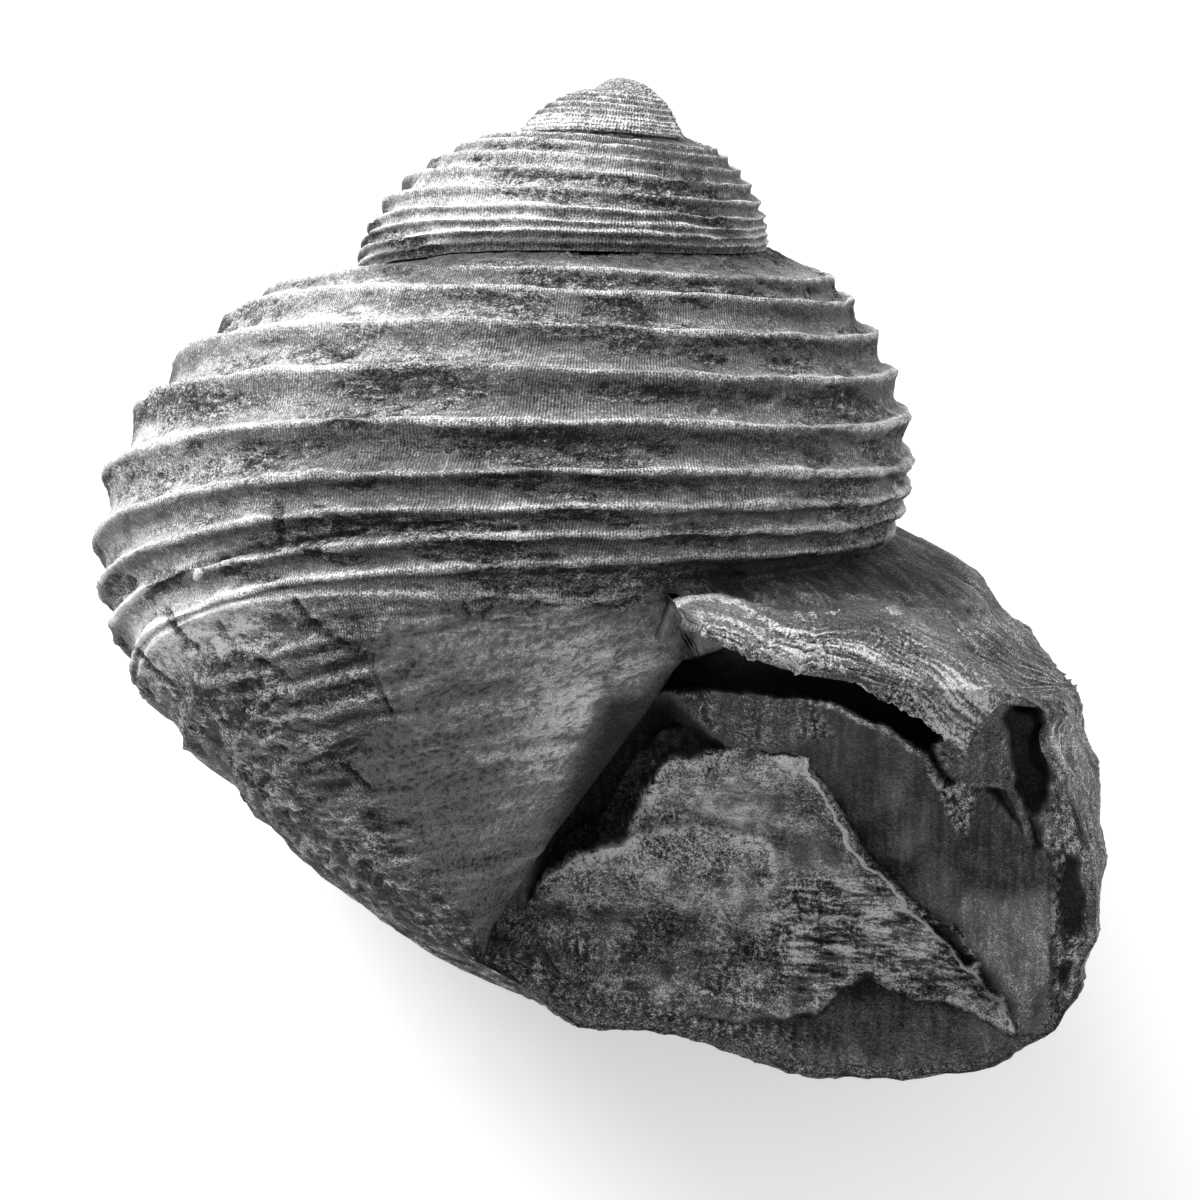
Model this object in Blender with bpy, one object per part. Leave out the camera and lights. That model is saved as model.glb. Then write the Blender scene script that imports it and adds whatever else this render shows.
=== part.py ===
# Fossil gastropod shell, lying on its back with the mouth up.
# +Y runs from the base towards the apex, +Z out of the mouth. Lengths are millimetres until the mesh
# is made.

import bpy
import numpy as np

METRES = 0.001

# Coiling axis: where it leaves the apex, and how it leans.
AXIS_FOOT = np.array([0.51, 8.26, 0.0])
AXIS_LEAN_DEG = 10.16
AXIS_TILT_DEG = 2.6

# The shell at half-turn stations. Turn 0 is the right side of the last whorl, and the lip starts at
# LIP_TURN.
TURNS = [-4, -3.5, -3, -2.5, -2, -1.5, -1, -0.5, 0, 0.25]
SUTURE_RADIUS = [0.08, 0.18, 0.34, 0.62, 0.99, 1.53, 2.53, 3.66, 5.38, 5.88]
SUTURE_DEPTH = [0.0, 0.03, 0.13, 0.27, 0.70, 1.15, 2.18, 3.83, 6.37, 8.71]
WIDEST_RADIUS = [0.35, 0.64, 1.01, 1.55, 2.54, 3.74, 5.45, 7.17, 9.68, 10.29]
WIDEST_DEPTH = [0.13, 0.29, 0.70, 1.12, 2.12, 3.27, 5.48, 7.91, 11.82, 12.78]
SHOULDER_POWER = [1.9, 1.7, 1.5, 1.55, 1.75, 1.7, 1.8, 1.75, 2.0, 2.0]
FIRST_TURN = -2.9
LIP_TURN = 0.19

# Shape of the base below the widest level.
BASE_TURNS = [-4, -1, -0.81, -0.65, -0.5, -0.25, 0, 0.25]
BASE_POWER = [1.7, 1.7, 1.7, 2.0, 2.1, 2.6, 2.6, 2.6]
BASE_CURVE = [1.5, 1.5, 1.5, 1.15, 1.0, 0.62, 0.20, 0.20]
BASE_DEPTH = [14.46, 14.46, 14.46, 14.46, 14.46, 14.78, 15.05, 15.05]
POLE_DEPTH = 14.46
DIMPLE_RADIUS = 2.08

# Spiral cords, as multiples of the suture's depth below the spiral's own origin.
SPIRAL_ORIGIN = 0.32
CORDS = [1.125, 1.235, 1.414, 1.64, 1.90, 2.15, 2.32, 2.465, 2.60]
LOW_CORDS = [2.85, 3.02]
BASE_CORD_COUNT = 12
WHORL_OVERLAP = 2.72
CORD_HOLLOW = 0.2
BASE_CORD_HOLLOW = 0.08

# How far the lip falls back from LIP_TURN, by its share of the way from suture to pole.
LIP_SHARE = [0, 0.144, 0.164, 0.175, 0.188, 0.203, 0.24, 0.262, 0.284, 0.30, 0.34, 0.386, 0.45, 0.5, 1.0]
LIP_BACK = [0, 0.004, 0.020, 0.038, 0.048, 0.113, 0.120, 0.124, 0.128, 0.138, 0.142, 0.158, 0.17, 0.175,
            0.17]
LIP_BLEND_TURNS = 0.45

# Steps round one turn, and samples between neighbouring cords.
STEPS_PER_TURN = 36
SAMPLES_PER_CORD = 2

# Worn spot on the back that the shell rests on.
REST_LEVEL = -7.19

# The mouth, seen from the front: outlines in x and y, and how far each area lies below the rim.
MOUTH_CENTRE = np.array([2.56, -4.31])
POCKET = [(1.15, -1.44), (1.84, -1.41), (2.56, -1.44), (3.23, -1.55), (3.39, -2.43), (3.96, -3.48),
          (4.87, -4.60), (6.04, -5.67), (6.39, -6.10), (6.49, -6.58), (6.15, -6.71), (5.03, -6.49),
          (4.63, -6.23), (4.15, -6.15), (3.51, -6.47), (2.54, -6.61), (1.20, -6.31), (0.32, -6.26),
          (-0.40, -6.04), (-0.88, -5.51), (-1.05, -4.87), (-0.80, -4.31), (-0.16, -3.91), (0.35, -3.64),
          (0.54, -3.11), (0.77, -2.64), (1.09, -2.32), (1.44, -2.27)]
LIP_GAP = [(0.65, -1.37), (0.96, -1.09), (1.34, -0.96), (2.16, -0.77), (3.08, -1.18), (3.82, -1.21),
           (5.11, -1.93), (5.67, -2.36), (5.83, -2.80), (5.16, -2.43), (4.14, -1.82), (3.71, -1.60),
           (2.91, -1.49), (1.17, -1.41)]
COLUMELLA_HOLLOW = [(0.19, -1.55), (1.17, -1.47), (1.44, -2.27), (0.96, -2.48), (0.54, -3.19),
                    (0.35, -3.71), (-0.83, -4.47), (-0.88, -3.99), (-0.29, -2.48), (0.0, -1.84)]
LIP_TIP = [(3.99, -0.96), (6.23, -0.96), (6.55, -1.44), (6.23, -1.77), (5.77, -2.40), (4.81, -1.76),
           (4.44, -1.58)]
LIP_BREAK = [(6.01, -2.01), (6.69, -1.58), (6.93, -1.76), (7.09, -2.72), (6.85, -3.37), (6.53, -2.56)]
WALL_BREAK = [(7.44, -4.03), (7.68, -4.79), (7.52, -5.30), (7.38, -5.27), (7.28, -4.19)]
INNER_WALL = [(5.45, -2.86), (6.39, -3.04), (6.66, -3.56), (7.19, -4.31), (7.30, -4.84), (7.19, -5.99),
              (6.63, -6.95)]
LOWER_SHELF = [(6.58, -6.93), (5.69, -6.50), (4.71, -6.13), (4.15, -5.99), (3.51, -6.39), (2.54, -6.53),
               (0.32, -6.15), (-0.88, -5.43), (-1.92, -5.43), (-2.24, -6.55), (-0.64, -7.35),
               (3.19, -8.15), (7.35, -7.67)]
UPPER_LEDGE = [(-1.02, -4.79), (-0.72, -4.28), (0.80, -3.67), (1.60, -3.48), (2.80, -3.91),
               (2.88, -4.47), (1.60, -4.78)]
BACK_BLOCK = [(0.96, -1.28), (1.93, -2.30), (3.32, -2.32), (3.39, -1.44), (2.56, -1.28)]
FILL_PIT = [(5.37, -5.13), (5.72, -5.35), (5.93, -5.67), (5.51, -5.51)]
FILL_CREST = [(3.21, -2.59), (3.88, -3.71), (4.78, -4.81), (6.39, -6.15)]

MOUTH_RINGS = [0.96, 0.86, 0.72, 0.56, 0.38, 0.18, 0.0]
FILL_RINGS = [1.0, 0.9, 0.75, 0.55, 0.35, 0.15]
POCKET_DEPTH = 3.75
FILL_GAP = 0.14
FILL_LIFT = 0.24


def clear_objects():
    for item in list(bpy.data.objects):
        bpy.data.objects.remove(item, do_unlink=True)


def make_material(name, colour, roughness):
    material = bpy.data.materials.new(name)
    material.use_nodes = True
    shader = material.node_tree.nodes["Principled BSDF"]
    shader.inputs["Base Color"].default_value = (*colour, 1.0)
    shader.inputs["Roughness"].default_value = roughness
    return material


def smooth(start, end, value):
    """0 before start, 1 after end, with level ends."""
    share = np.clip((value - start) / (end - start), 0.0, 1.0)
    return share * share * (3.0 - 2.0 * share)


def through(stations, values, where):
    """Smooth curve through the values given at the stations."""
    stations, values = np.asarray(stations, float), np.asarray(values, float)
    steps = np.diff(stations)
    slopes = np.diff(values) / steps
    at = np.empty_like(values)
    at[0], at[-1] = slopes[0], slopes[-1]
    at[1:-1] = (slopes[:-1] * steps[1:] + slopes[1:] * steps[:-1]) / (steps[1:] + steps[:-1])
    where = np.clip(where, stations[0], stations[-1])
    left = np.clip(np.searchsorted(stations, where, side="right") - 1, 0, len(steps) - 1)
    step = steps[left]
    share = (where - stations[left]) / step
    from_left = values[left] * (1 + 2 * share) + at[left] * step * share
    from_right = values[left + 1] * (3 - 2 * share) - at[left + 1] * step * (1 - share)
    return from_left * (1 - share) ** 2 + from_right * share ** 2


def axis_frame():
    """Right, forward and upward unit vectors of the coiling axis."""
    lean, tilt = np.radians(AXIS_LEAN_DEG), np.radians(AXIS_TILT_DEG)
    right = np.array([np.cos(lean), -np.sin(lean), 0.0])
    up = np.array([np.sin(lean) * np.cos(tilt), np.cos(lean) * np.cos(tilt), -np.sin(tilt)])
    return right, np.cross(up, right) * -1.0, up


def place(turn, radius, depth):
    """Point at a turn, a radius from the axis and a depth below the apex."""
    right, forward, up = axis_frame()
    angle = 2 * np.pi * np.asarray(turn)
    across = (radius * np.cos(angle))[..., None] * right
    along = (radius * np.sin(angle))[..., None] * forward
    return AXIS_FOOT + across + along - depth[..., None] * up


def meridian(turn):
    """Radius, depth and arc length of the whorl from its suture, over its widest level, to the pole."""
    suture_r, suture_d = through(TURNS, SUTURE_RADIUS, turn), through(TURNS, SUTURE_DEPTH, turn)
    wide_r, wide_d = through(TURNS, WIDEST_RADIUS, turn), through(TURNS, WIDEST_DEPTH, turn)
    power = 2.0 / through(TURNS, SHOULDER_POWER, turn)
    angle = np.linspace(0, np.pi / 2, 400)
    upper_r = suture_r + (wide_r - suture_r) * np.sin(angle) ** power
    upper_d = suture_d + (wide_d - suture_d) * (1 - np.abs(np.cos(angle)) ** power)
    share = 1 - (1 - np.linspace(0, 1, 800)) ** 1.6
    curve, round_off = through(BASE_TURNS, BASE_POWER, turn), through(BASE_TURNS, BASE_CURVE, turn)
    base_d = through(BASE_TURNS, BASE_DEPTH, turn)
    lower_r = wide_r * (1 - share ** curve) ** round_off
    lower_d = wide_d + (base_d - wide_d) * share
    lower_d -= (base_d - POLE_DEPTH) * (1 - smooth(0, DIMPLE_RADIUS, lower_r))
    radius, depth = np.r_[upper_r, lower_r[1:]], np.r_[upper_d, lower_d[1:]]
    arc = np.r_[0, np.cumsum(np.hypot(np.diff(radius), np.diff(depth)))]
    return radius, depth, arc


def cord_levels(turn):
    """Arc lengths of the suture, the cords, the next suture, and the cords of the base down to the pole."""
    radius, depth, arc = meridian(turn)
    start = through(TURNS, SUTURE_DEPTH, turn) + SPIRAL_ORIGIN
    if turn <= LIP_TURN - 1 + 1e-9:
        overlap = (through(TURNS, SUTURE_DEPTH, turn + 1) + SPIRAL_ORIGIN) / start
    else:
        overlap = 2.79 - 0.15 * smooth(-0.81, -0.6, turn)
    spread = overlap + (WHORL_OVERLAP - overlap) * smooth(-1.3, -1.0, turn)
    upper = start * spread ** (np.log(CORDS) / np.log(WHORL_OVERLAP))
    lower = start * np.maximum(LOW_CORDS, overlap + np.array([0.06, 0.2]))
    wanted = np.r_[start, upper, start * overlap, lower] - SPIRAL_ORIGIN
    levels = np.interp(wanted, np.maximum.accumulate(depth) + np.arange(len(depth)) * 1e-9, arc)
    levels[0] = 0.0
    even = np.arange(1, BASE_CORD_COUNT + 1) / BASE_CORD_COUNT
    return radius, depth, arc, np.r_[levels, levels[-1] + (arc[-1] - levels[-1]) * even]


def whorl_section(turn):
    """Radius, depth and share of the way to the pole along one section, hollowed between the cords."""
    if turn <= -0.5:
        radius, depth, arc, levels = cord_levels(turn)
    else:
        radius, depth, arc = meridian(turn)
        _, _, half_arc, half_levels = cord_levels(-0.5)
        levels = half_levels / half_arc[-1] * arc[-1]
    crest_r, crest_d = np.interp(levels, arc, radius), np.interp(levels, arc, depth)
    run_r, run_d = np.diff(crest_r)[:, None], np.diff(crest_d)[:, None]
    width = np.hypot(run_r, run_d)
    hollow = np.full(len(levels) - 1, CORD_HOLLOW)
    hollow[0], hollow[9] = 0.05, 0.05
    callus = smooth(-0.60, -0.72, turn) if turn < -0.4 else 0.0
    hollow[10:] = BASE_CORD_HOLLOW * (1 - callus)
    hollow *= 1 - 0.75 * smooth(-0.25, -0.05, turn)
    hollow[-2:] = 0.0
    share = (np.arange(SAMPLES_PER_CORD) / SAMPLES_PER_CORD)[None, :]
    dip = hollow[:, None] * np.sin(np.pi * share ** 1.3)
    line_r = crest_r[:-1, None] + run_r * share - dip * run_d
    line_d = crest_d[:-1, None] + run_d * share + dip * run_r
    position = levels[:-1, None] + np.diff(levels)[:, None] * share
    ways = np.r_[position.ravel(), levels[-1]] / arc[-1]
    return np.r_[line_r.ravel(), crest_r[-1]], np.r_[line_d.ravel(), crest_d[-1]], ways


def whorl_rings():
    """Sections from the first turn to the lip, each as points in space."""
    count = int(round((LIP_TURN - FIRST_TURN) * STEPS_PER_TURN))
    turns = LIP_TURN - np.arange(count, -1, -1) / STEPS_PER_TURN
    table_step = 0.01
    table_turns = np.arange(-0.5, LIP_TURN + table_step, table_step)
    table = [whorl_section(turn) for turn in table_turns]
    table_r, table_d = np.array([row[0] for row in table]), np.array([row[1] for row in table])
    rings = []
    for turn in turns:
        radius, depth, ways = whorl_section(turn)
        own = np.full(len(radius), turn)
        if turn > LIP_TURN - LIP_BLEND_TURNS:
            grown = smooth(LIP_TURN - LIP_BLEND_TURNS, LIP_TURN, turn)
            own = turn - through(LIP_SHARE, LIP_BACK, ways) * grown
            column = np.arange(len(radius))
            row = np.clip((own - table_turns[0]) / table_step, 0, len(table_turns) - 1.001)
            low, part = row.astype(int), row - row.astype(int)
            radius = table_r[low, column] * (1 - part) + table_r[low + 1, column] * part
            depth = table_d[low, column] * (1 - part) + table_d[low + 1, column] * part
        rings.append(place(own, radius, depth))
    return rings


def coil(rings):
    """Vertices and faces of the coiled surface, and the open rim of the mouth as vertex numbers."""
    last = len(rings) - 1 - STEPS_PER_TURN
    seam = 10 * SAMPLES_PER_CORD
    vertices, numbers = [], []
    for place_in_row, ring in enumerate(rings):
        row = np.full(len(ring), -1)
        own = list(range(seam)) if place_in_row <= last else list(range(len(ring) - 1))
        if place_in_row == last:
            own += list(range(seam + 1, len(ring) - 1))
        row[own] = len(vertices) + np.arange(len(own))
        vertices += [ring[k] for k in own]
        numbers.append(row)
    pole = len(vertices)
    vertices.append(place(0.0, np.array(0.0), np.array(POLE_DEPTH)))
    for place_in_row, row in enumerate(numbers):
        if place_in_row >= last:
            row[-1] = pole
        if place_in_row + STEPS_PER_TURN < len(rings):
            row[seam] = numbers[place_in_row + STEPS_PER_TURN][0]
    faces = []
    for place_in_row in range(len(rings) - 1):
        here, there = numbers[place_in_row], numbers[place_in_row + 1]
        width = seam if place_in_row < last else len(here) - 1
        for k in range(width):
            face = [here[k], there[k], there[k + 1], here[k + 1]]
            face = [v for j, v in enumerate(face) if v != face[j - 1]]
            faces.append([int(v) for v in face])
    # worn tip over the first sections
    tip = len(vertices)
    right, _, up = axis_frame()
    vertices.append(AXIS_FOOT - 0.19 * right + 0.02 * up)
    loop = [int(numbers[k][0]) for k in range(STEPS_PER_TURN + 1)]
    loop += [int(v) for v in numbers[0][seam - 1:0:-1]]
    for k, vertex in enumerate(loop):
        faces.append([tip, loop[(k + 1) % len(loop)], vertex])
    outer = [int(v) for v in numbers[-1][:-1]]
    inner = [int(v) for v in numbers[last][seam:]]
    return vertices, faces, outer + inner[::-1][:-1]


def inside_by(x, y, outline):
    """Distance to the outline, positive inside it."""
    start = np.asarray(outline, float)
    end = np.roll(start, -1, 0)
    distance = off_line(x, y, np.vstack([start, start[:1]]))
    crossing = (start[:, 1] > y[..., None]) != (end[:, 1] > y[..., None])
    rise = np.where(end[:, 1] == start[:, 1], 1e-9, end[:, 1] - start[:, 1])
    edge_x = start[:, 0] + (y[..., None] - start[:, 1]) / rise * (end[:, 0] - start[:, 0])
    odd = (crossing & (x[..., None] < edge_x)).sum(-1) % 2 == 1
    return np.where(odd, distance, -distance)


def off_line(x, y, line):
    """Distance to an open line of points."""
    line = np.asarray(line, float)
    start, run = line[:-1], np.diff(line, axis=0)
    point = np.stack([x, y], -1)[..., None, :]
    share = np.clip(((point - start) * run).sum(-1) / (run ** 2).sum(-1), 0, 1)
    return np.sqrt(((point - start - share[..., None] * run) ** 2).sum(-1)).min(-1)


def blend(depth, x, y, outline, wanted, width):
    share = smooth(-width / 2, width / 2, inside_by(x, y, outline))
    return depth * (1 - share) + share * wanted


def mouth_depth(x, y, rim):
    """How far the inside of the mouth lies below the level of its rim."""
    inward = inside_by(x, y, rim)
    depth = 0.22 * smooth(0, 0.1, inward) + 2.17 * smooth(0.22, 0.95, inward)
    wall_side = INNER_WALL + [(2.56, -6.39), (2.56, -3.19)]
    wall = 0.45 + 1.88 * smooth(0, 1.92, off_line(x, y, INNER_WALL))
    on_wall = smooth(-0.1, 0.1, inside_by(x, y, wall_side))
    depth = depth * (1 - on_wall) + wall * on_wall
    beyond = smooth(5.27, 5.75, x) * (1 - on_wall)
    depth = depth * (1 - beyond) + 0.13 * beyond
    areas = ((COLUMELLA_HOLLOW, 3.27, 0.42), (LOWER_SHELF, 0.42, 0.32), (LIP_GAP, 5.27, 0.22),
             (LIP_TIP, 0.0, 0.16), (LIP_BREAK, 2.0, 0.16), (WALL_BREAK, 1.52, 0.13))
    for outline, wanted, width in areas:
        depth = blend(depth, x, y, outline, wanted, width)
    return depth * smooth(0, 0.08, inward)


def fill_depth(x, y):
    """How far the top of the rock filling lies below the level of the rim."""
    depth = 1.25 + 0.0 * x
    areas = ((UPPER_LEDGE, 0.80, 0.26), (BACK_BLOCK, 2.04, 0.22), (FILL_PIT, 2.08, 0.16))
    for outline, wanted, width in areas:
        depth = blend(depth, x, y, outline, wanted, width)
    return depth - 0.35 * (1 - smooth(0, 0.35, off_line(x, y, FILL_CREST)))


def reach(outline, angle):
    """Distance from the middle of the mouth to an outline, by direction."""
    points = np.asarray(outline, float)
    share = np.linspace(0, 1, 40, endpoint=False)[None, :, None]
    points = points[:, None] * (1 - share) + np.roll(points, -1, 0)[:, None] * share
    points = points.reshape(-1, 2) - MOUTH_CENTRE
    heading = np.arctan2(points[:, 1], points[:, 0])
    order = np.argsort(heading)
    return np.interp(angle, heading[order], np.hypot(*points.T)[order], period=2 * np.pi)


class RimLevel:
    """Smooth sheet stretched across the rim of the mouth, as rays from its middle."""

    def __init__(self, rim):
        self.rim = rim
        terms = self.terms(rim[:, 0], rim[:, 1])
        self.weights = np.linalg.lstsq(terms, rim[:, 2], rcond=None)[0]
        self.angle = np.arctan2(rim[:, 1] - MOUTH_CENTRE[1], rim[:, 0] - MOUTH_CENTRE[0])
        self.radius = np.hypot(rim[:, 0] - MOUTH_CENTRE[0], rim[:, 1] - MOUTH_CENTRE[1])

    @staticmethod
    def terms(x, y):
        across, up = x - 3.2, y + 4.0
        return np.stack([1 + 0 * x, across, up, across ** 2, across * up, up ** 2], -1)

    def ring(self, angle, rim_radius, rim_height, radius, below):
        x, y = MOUTH_CENTRE[0] + radius * np.cos(angle), MOUTH_CENTRE[1] + radius * np.sin(angle)
        near = np.clip(radius / rim_radius, 0, 1) ** 3
        level = near * rim_height + (1 - near) * (self.terms(x, y) @ self.weights)
        return np.stack([x, y, level - below(x, y)], -1)


def add_rings(vertices, faces, first, rings, middle, outward):
    """Join a loop of vertices to rings inside it and close them on a middle point."""
    previous = first
    for ring in rings:
        current = list(range(len(vertices), len(vertices) + len(ring)))
        vertices.extend(ring)
        for k in range(len(ring)):
            after = (k + 1) % len(ring)
            face = [previous[after], previous[k], current[k], current[after]]
            faces.append(face if outward else face[::-1])
        previous = current
    vertices.append(middle)
    for k in range(len(previous)):
        face = [previous[(k + 1) % len(previous)], previous[k], len(vertices) - 1]
        faces.append(face if outward else face[::-1])


def mouth(vertices, faces, loop, sheet):
    """Inner lip, gap, hollow, walls and the pocket that holds the rock, added inside the rim."""
    angle, radius, height = sheet.angle, sheet.radius, sheet.rim[:, 2]
    edge = np.minimum(reach(POCKET, angle), radius - 0.19)
    rings = [sheet.ring(angle, radius, height, edge + (radius - edge) * share,
                        lambda x, y: mouth_depth(x, y, sheet.rim[:, :2])) for share in MOUTH_RINGS]
    rings += [sheet.ring(angle, radius, height, edge * share, lambda x, y: POCKET_DEPTH)
              for share in (0.985, 0.5)]
    middle = sheet.ring(angle[:1], radius[:1], height[:1], radius[:1] * 0, lambda x, y: POCKET_DEPTH)[0]
    add_rings(vertices, faces, loop, rings, middle, True)


def rock_filling(sheet):
    """Closed lump of rock in the pocket, with its ledges, crest and pit."""
    angle, radius, height = sheet.angle, sheet.radius, sheet.rim[:, 2]
    edge = np.minimum(reach(POCKET, angle), radius - 0.19) - FILL_GAP
    floor = POCKET_DEPTH - FILL_LIFT
    top = [sheet.ring(angle, radius, height, edge * share, fill_depth) for share in FILL_RINGS]
    low = [sheet.ring(angle, radius, height, edge * share, lambda x, y: floor) for share in (0.97, 0.5)]
    crown = sheet.ring(angle[:1], radius[:1], height[:1], radius[:1] * 0, fill_depth)[0]
    root = sheet.ring(angle[:1], radius[:1], height[:1], radius[:1] * 0, lambda x, y: floor)[0]
    vertices, faces = list(top[0]), []
    first = list(range(len(angle)))
    add_rings(vertices, faces, first, top[1:], crown, True)
    add_rings(vertices, faces, first, low, root, False)
    return vertices, faces


def make_object(name, vertices, faces, material):
    mesh = bpy.data.meshes.new(name)
    mesh.from_pydata([tuple(float(c) for c in v) for v in vertices], [], faces)
    mesh.validate()
    mesh.update()
    mesh.materials.append(material)
    item = bpy.data.objects.new(name, mesh)
    bpy.context.scene.collection.objects.link(item)
    return item


def main():
    clear_objects()
    shell_stone = make_material("shell_stone", (0.42, 0.41, 0.40), 0.75)
    fill_stone = make_material("fill_stone", (0.30, 0.29, 0.28), 0.9)
    vertices, faces, loop = coil(whorl_rings())
    sheet = RimLevel(np.array([vertices[k] for k in loop]))
    mouth(vertices, faces, loop, sheet)
    fill_vertices, fill_faces = rock_filling(sheet)
    shell = np.array(vertices)
    shell[:, 2] = np.maximum(shell[:, 2], REST_LEVEL)
    low, high = shell.min(0), shell.max(0)
    origin = np.array([(low[0] + high[0]) / 2, (low[1] + high[1]) / 2, low[2]])
    make_object("shell", (shell - origin) * METRES, faces, shell_stone)
    make_object("sediment_fill", (np.array(fill_vertices) - origin) * METRES, fill_faces, fill_stone)


main()
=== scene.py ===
# Looks of the fossil gastropod shell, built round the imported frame.
# Shapes are worked out in millimetres, or in picture units of the straight-down view, and end in metres.
import bpy
import numpy as np
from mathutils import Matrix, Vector


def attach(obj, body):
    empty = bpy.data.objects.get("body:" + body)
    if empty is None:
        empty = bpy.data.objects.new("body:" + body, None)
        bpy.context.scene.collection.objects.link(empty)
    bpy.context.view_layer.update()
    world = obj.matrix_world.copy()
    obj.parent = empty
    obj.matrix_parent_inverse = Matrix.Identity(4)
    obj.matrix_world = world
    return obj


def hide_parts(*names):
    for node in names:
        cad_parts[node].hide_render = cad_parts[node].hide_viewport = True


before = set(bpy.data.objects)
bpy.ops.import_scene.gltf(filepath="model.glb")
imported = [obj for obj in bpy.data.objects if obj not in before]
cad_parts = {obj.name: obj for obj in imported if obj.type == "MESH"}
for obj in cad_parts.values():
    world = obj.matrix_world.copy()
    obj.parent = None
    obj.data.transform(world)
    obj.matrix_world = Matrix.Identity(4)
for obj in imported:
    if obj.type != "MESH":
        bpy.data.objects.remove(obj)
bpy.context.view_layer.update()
print("frame loaded")

mm = 0.001
unit = 0.015974  # millimetres per picture unit
restLevel = -7.19  # height of the worn flat under the shell, in the coil's own millimetres
origin = np.array([-0.00332, 0.39530, restLevel])  # middle of the shell on the floor, measured the same way

# Numbers and noise.


def smooth(start, end, value):  # 0 before start, 1 after end, level at both ends
    share = np.clip((value - start) / (end - start), 0.0, 1.0)
    return share * share * (3.0 - 2.0 * share)


def through(stations, values, where):  # cubic curve through the values given at the stations
    stations, values = np.asarray(stations, float), np.asarray(values, float)
    steps = np.diff(stations)
    slopes = np.diff(values) / steps
    tangent = np.empty_like(values)
    tangent[0], tangent[-1] = slopes[0], slopes[-1]
    tangent[1:-1] = (slopes[:-1] * steps[1:] + slopes[1:] * steps[:-1]) / (steps[1:] + steps[:-1])
    where = np.clip(where, stations[0], stations[-1])
    left = np.clip(np.searchsorted(stations, where, side="right") - 1, 0, len(steps) - 1)
    step = steps[left]
    share = (where - stations[left]) / step
    fromLeft = values[left] * (1 + 2 * share) + tangent[left] * step * share
    fromRight = values[left + 1] * (3 - 2 * share) - tangent[left + 1] * step * (1 - share)
    return fromLeft * (1 - share) ** 2 + fromRight * share ** 2


def latticeHash(ix, iy, iz, seed):  # fixed whole number for each whole-number point
    mixed = (ix.astype(np.uint64) * np.uint64(374761393) + iy.astype(np.uint64) * np.uint64(668265263)
             + iz.astype(np.uint64) * np.uint64(2246822519) + np.uint64(seed * 3266489917))
    mixed = (mixed ^ (mixed >> np.uint64(15))) * np.uint64(2654435761) & np.uint64(0xFFFFFFFF)
    mixed = (mixed ^ (mixed >> np.uint64(13))) * np.uint64(1274126177) & np.uint64(0xFFFFFFFF)
    return mixed ^ (mixed >> np.uint64(16))


def noise(points, size, seed):  # smooth gradient noise, one bump about every size, from about -1 to 1
    scaled = np.asarray(points, float) / size + 1000.0 + seed * 0.37
    whole = np.floor(scaled)
    part = scaled - whole
    ease = part * part * part * (part * (part * 6 - 15) + 10)
    cell = whole.astype(np.int64)
    total = 0.0
    for dx in (0, 1):
        for dy in (0, 1):
            for dz in (0, 1):
                weight = abs(1 - dx - ease[..., 0]) * abs(1 - dy - ease[..., 1]) * abs(1 - dz - ease[..., 2])
                mixed = latticeHash(cell[..., 0] + dx, cell[..., 1] + dy, cell[..., 2] + dz, seed)
                slope = noiseSlopes[(mixed % np.uint64(slopeCount)).astype(int)]
                away = part - np.array([dx, dy, dz])
                total = total + weight * (slope * away).sum(-1)
    return total * 1.9


slopeCount = 48  # slopes of the noise, spread evenly over a ball by the golden angle
slopeTurns = np.arange(slopeCount) * 2.399963
slopeHeights = 1 - (np.arange(slopeCount) + 0.5) / (slopeCount / 2)
slopeReach = np.sqrt(1 - slopeHeights ** 2)
noiseSlopes = np.stack([slopeReach * np.cos(slopeTurns), slopeReach * np.sin(slopeTurns), slopeHeights], -1)


def layered(points, size, octaves, seed, fall=0.5):  # noise summed over octaves, each half the size
    total, weight = 0.0, 1.0
    for octave in range(octaves):
        total = total + weight * noise(points, size / 2 ** octave, seed + octave)
        weight *= fall
    return total


def blurred(grid, reach):  # mean over a square of 2*reach+1 samples, edges repeated
    out = grid
    for axis in (0, 1):
        pad = [(0, 0), (0, 0)]
        pad[axis] = (reach + 1, reach)
        total = np.cumsum(np.pad(out, pad, mode="edge"), axis=axis)
        size = 2 * reach + 1
        out = (np.take(total, np.arange(size, total.shape[axis]), axis)
               - np.take(total, np.arange(0, total.shape[axis] - size), axis)) / size
    return out


# Outlines in picture units.

def insideBy(x, y, outline):  # distance to a closed outline, positive inside it
    start = np.asarray(outline, float)
    end = np.roll(start, -1, 0)
    distance = offLine(x, y, np.vstack([start, start[:1]]))
    odd = np.zeros(np.shape(x), bool)
    for (ax, ay), (bx, by) in zip(start, end):
        if ay == by:
            continue
        crossing = (ay > y) != (by > y)
        odd ^= crossing & (x < ax + (y - ay) / (by - ay) * (bx - ax))
    return np.where(odd, distance, -distance)


def offLine(x, y, line):  # distance to an open line of points
    line = np.asarray(line, float)
    best = np.full(np.shape(x), 1e9)
    for (ax, ay), (bx, by) in zip(line[:-1], line[1:]):
        rx, ry = bx - ax, by - ay
        share = np.clip(((x - ax) * rx + (y - ay) * ry) / (rx * rx + ry * ry + 1e-12), 0, 1)
        best = np.minimum(best, np.hypot(x - ax - share * rx, y - ay - share * ry))
    return best


def area(x, y, outline, width):  # 1 inside an outline, 0 outside, over a border of the width
    return smooth(-width / 2, width / 2, insideBy(x, y, outline))


def stroke(x, y, line, width):  # 1 on a line, 0 beyond the width
    return 1 - smooth(0, width, offLine(x, y, line))


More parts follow.
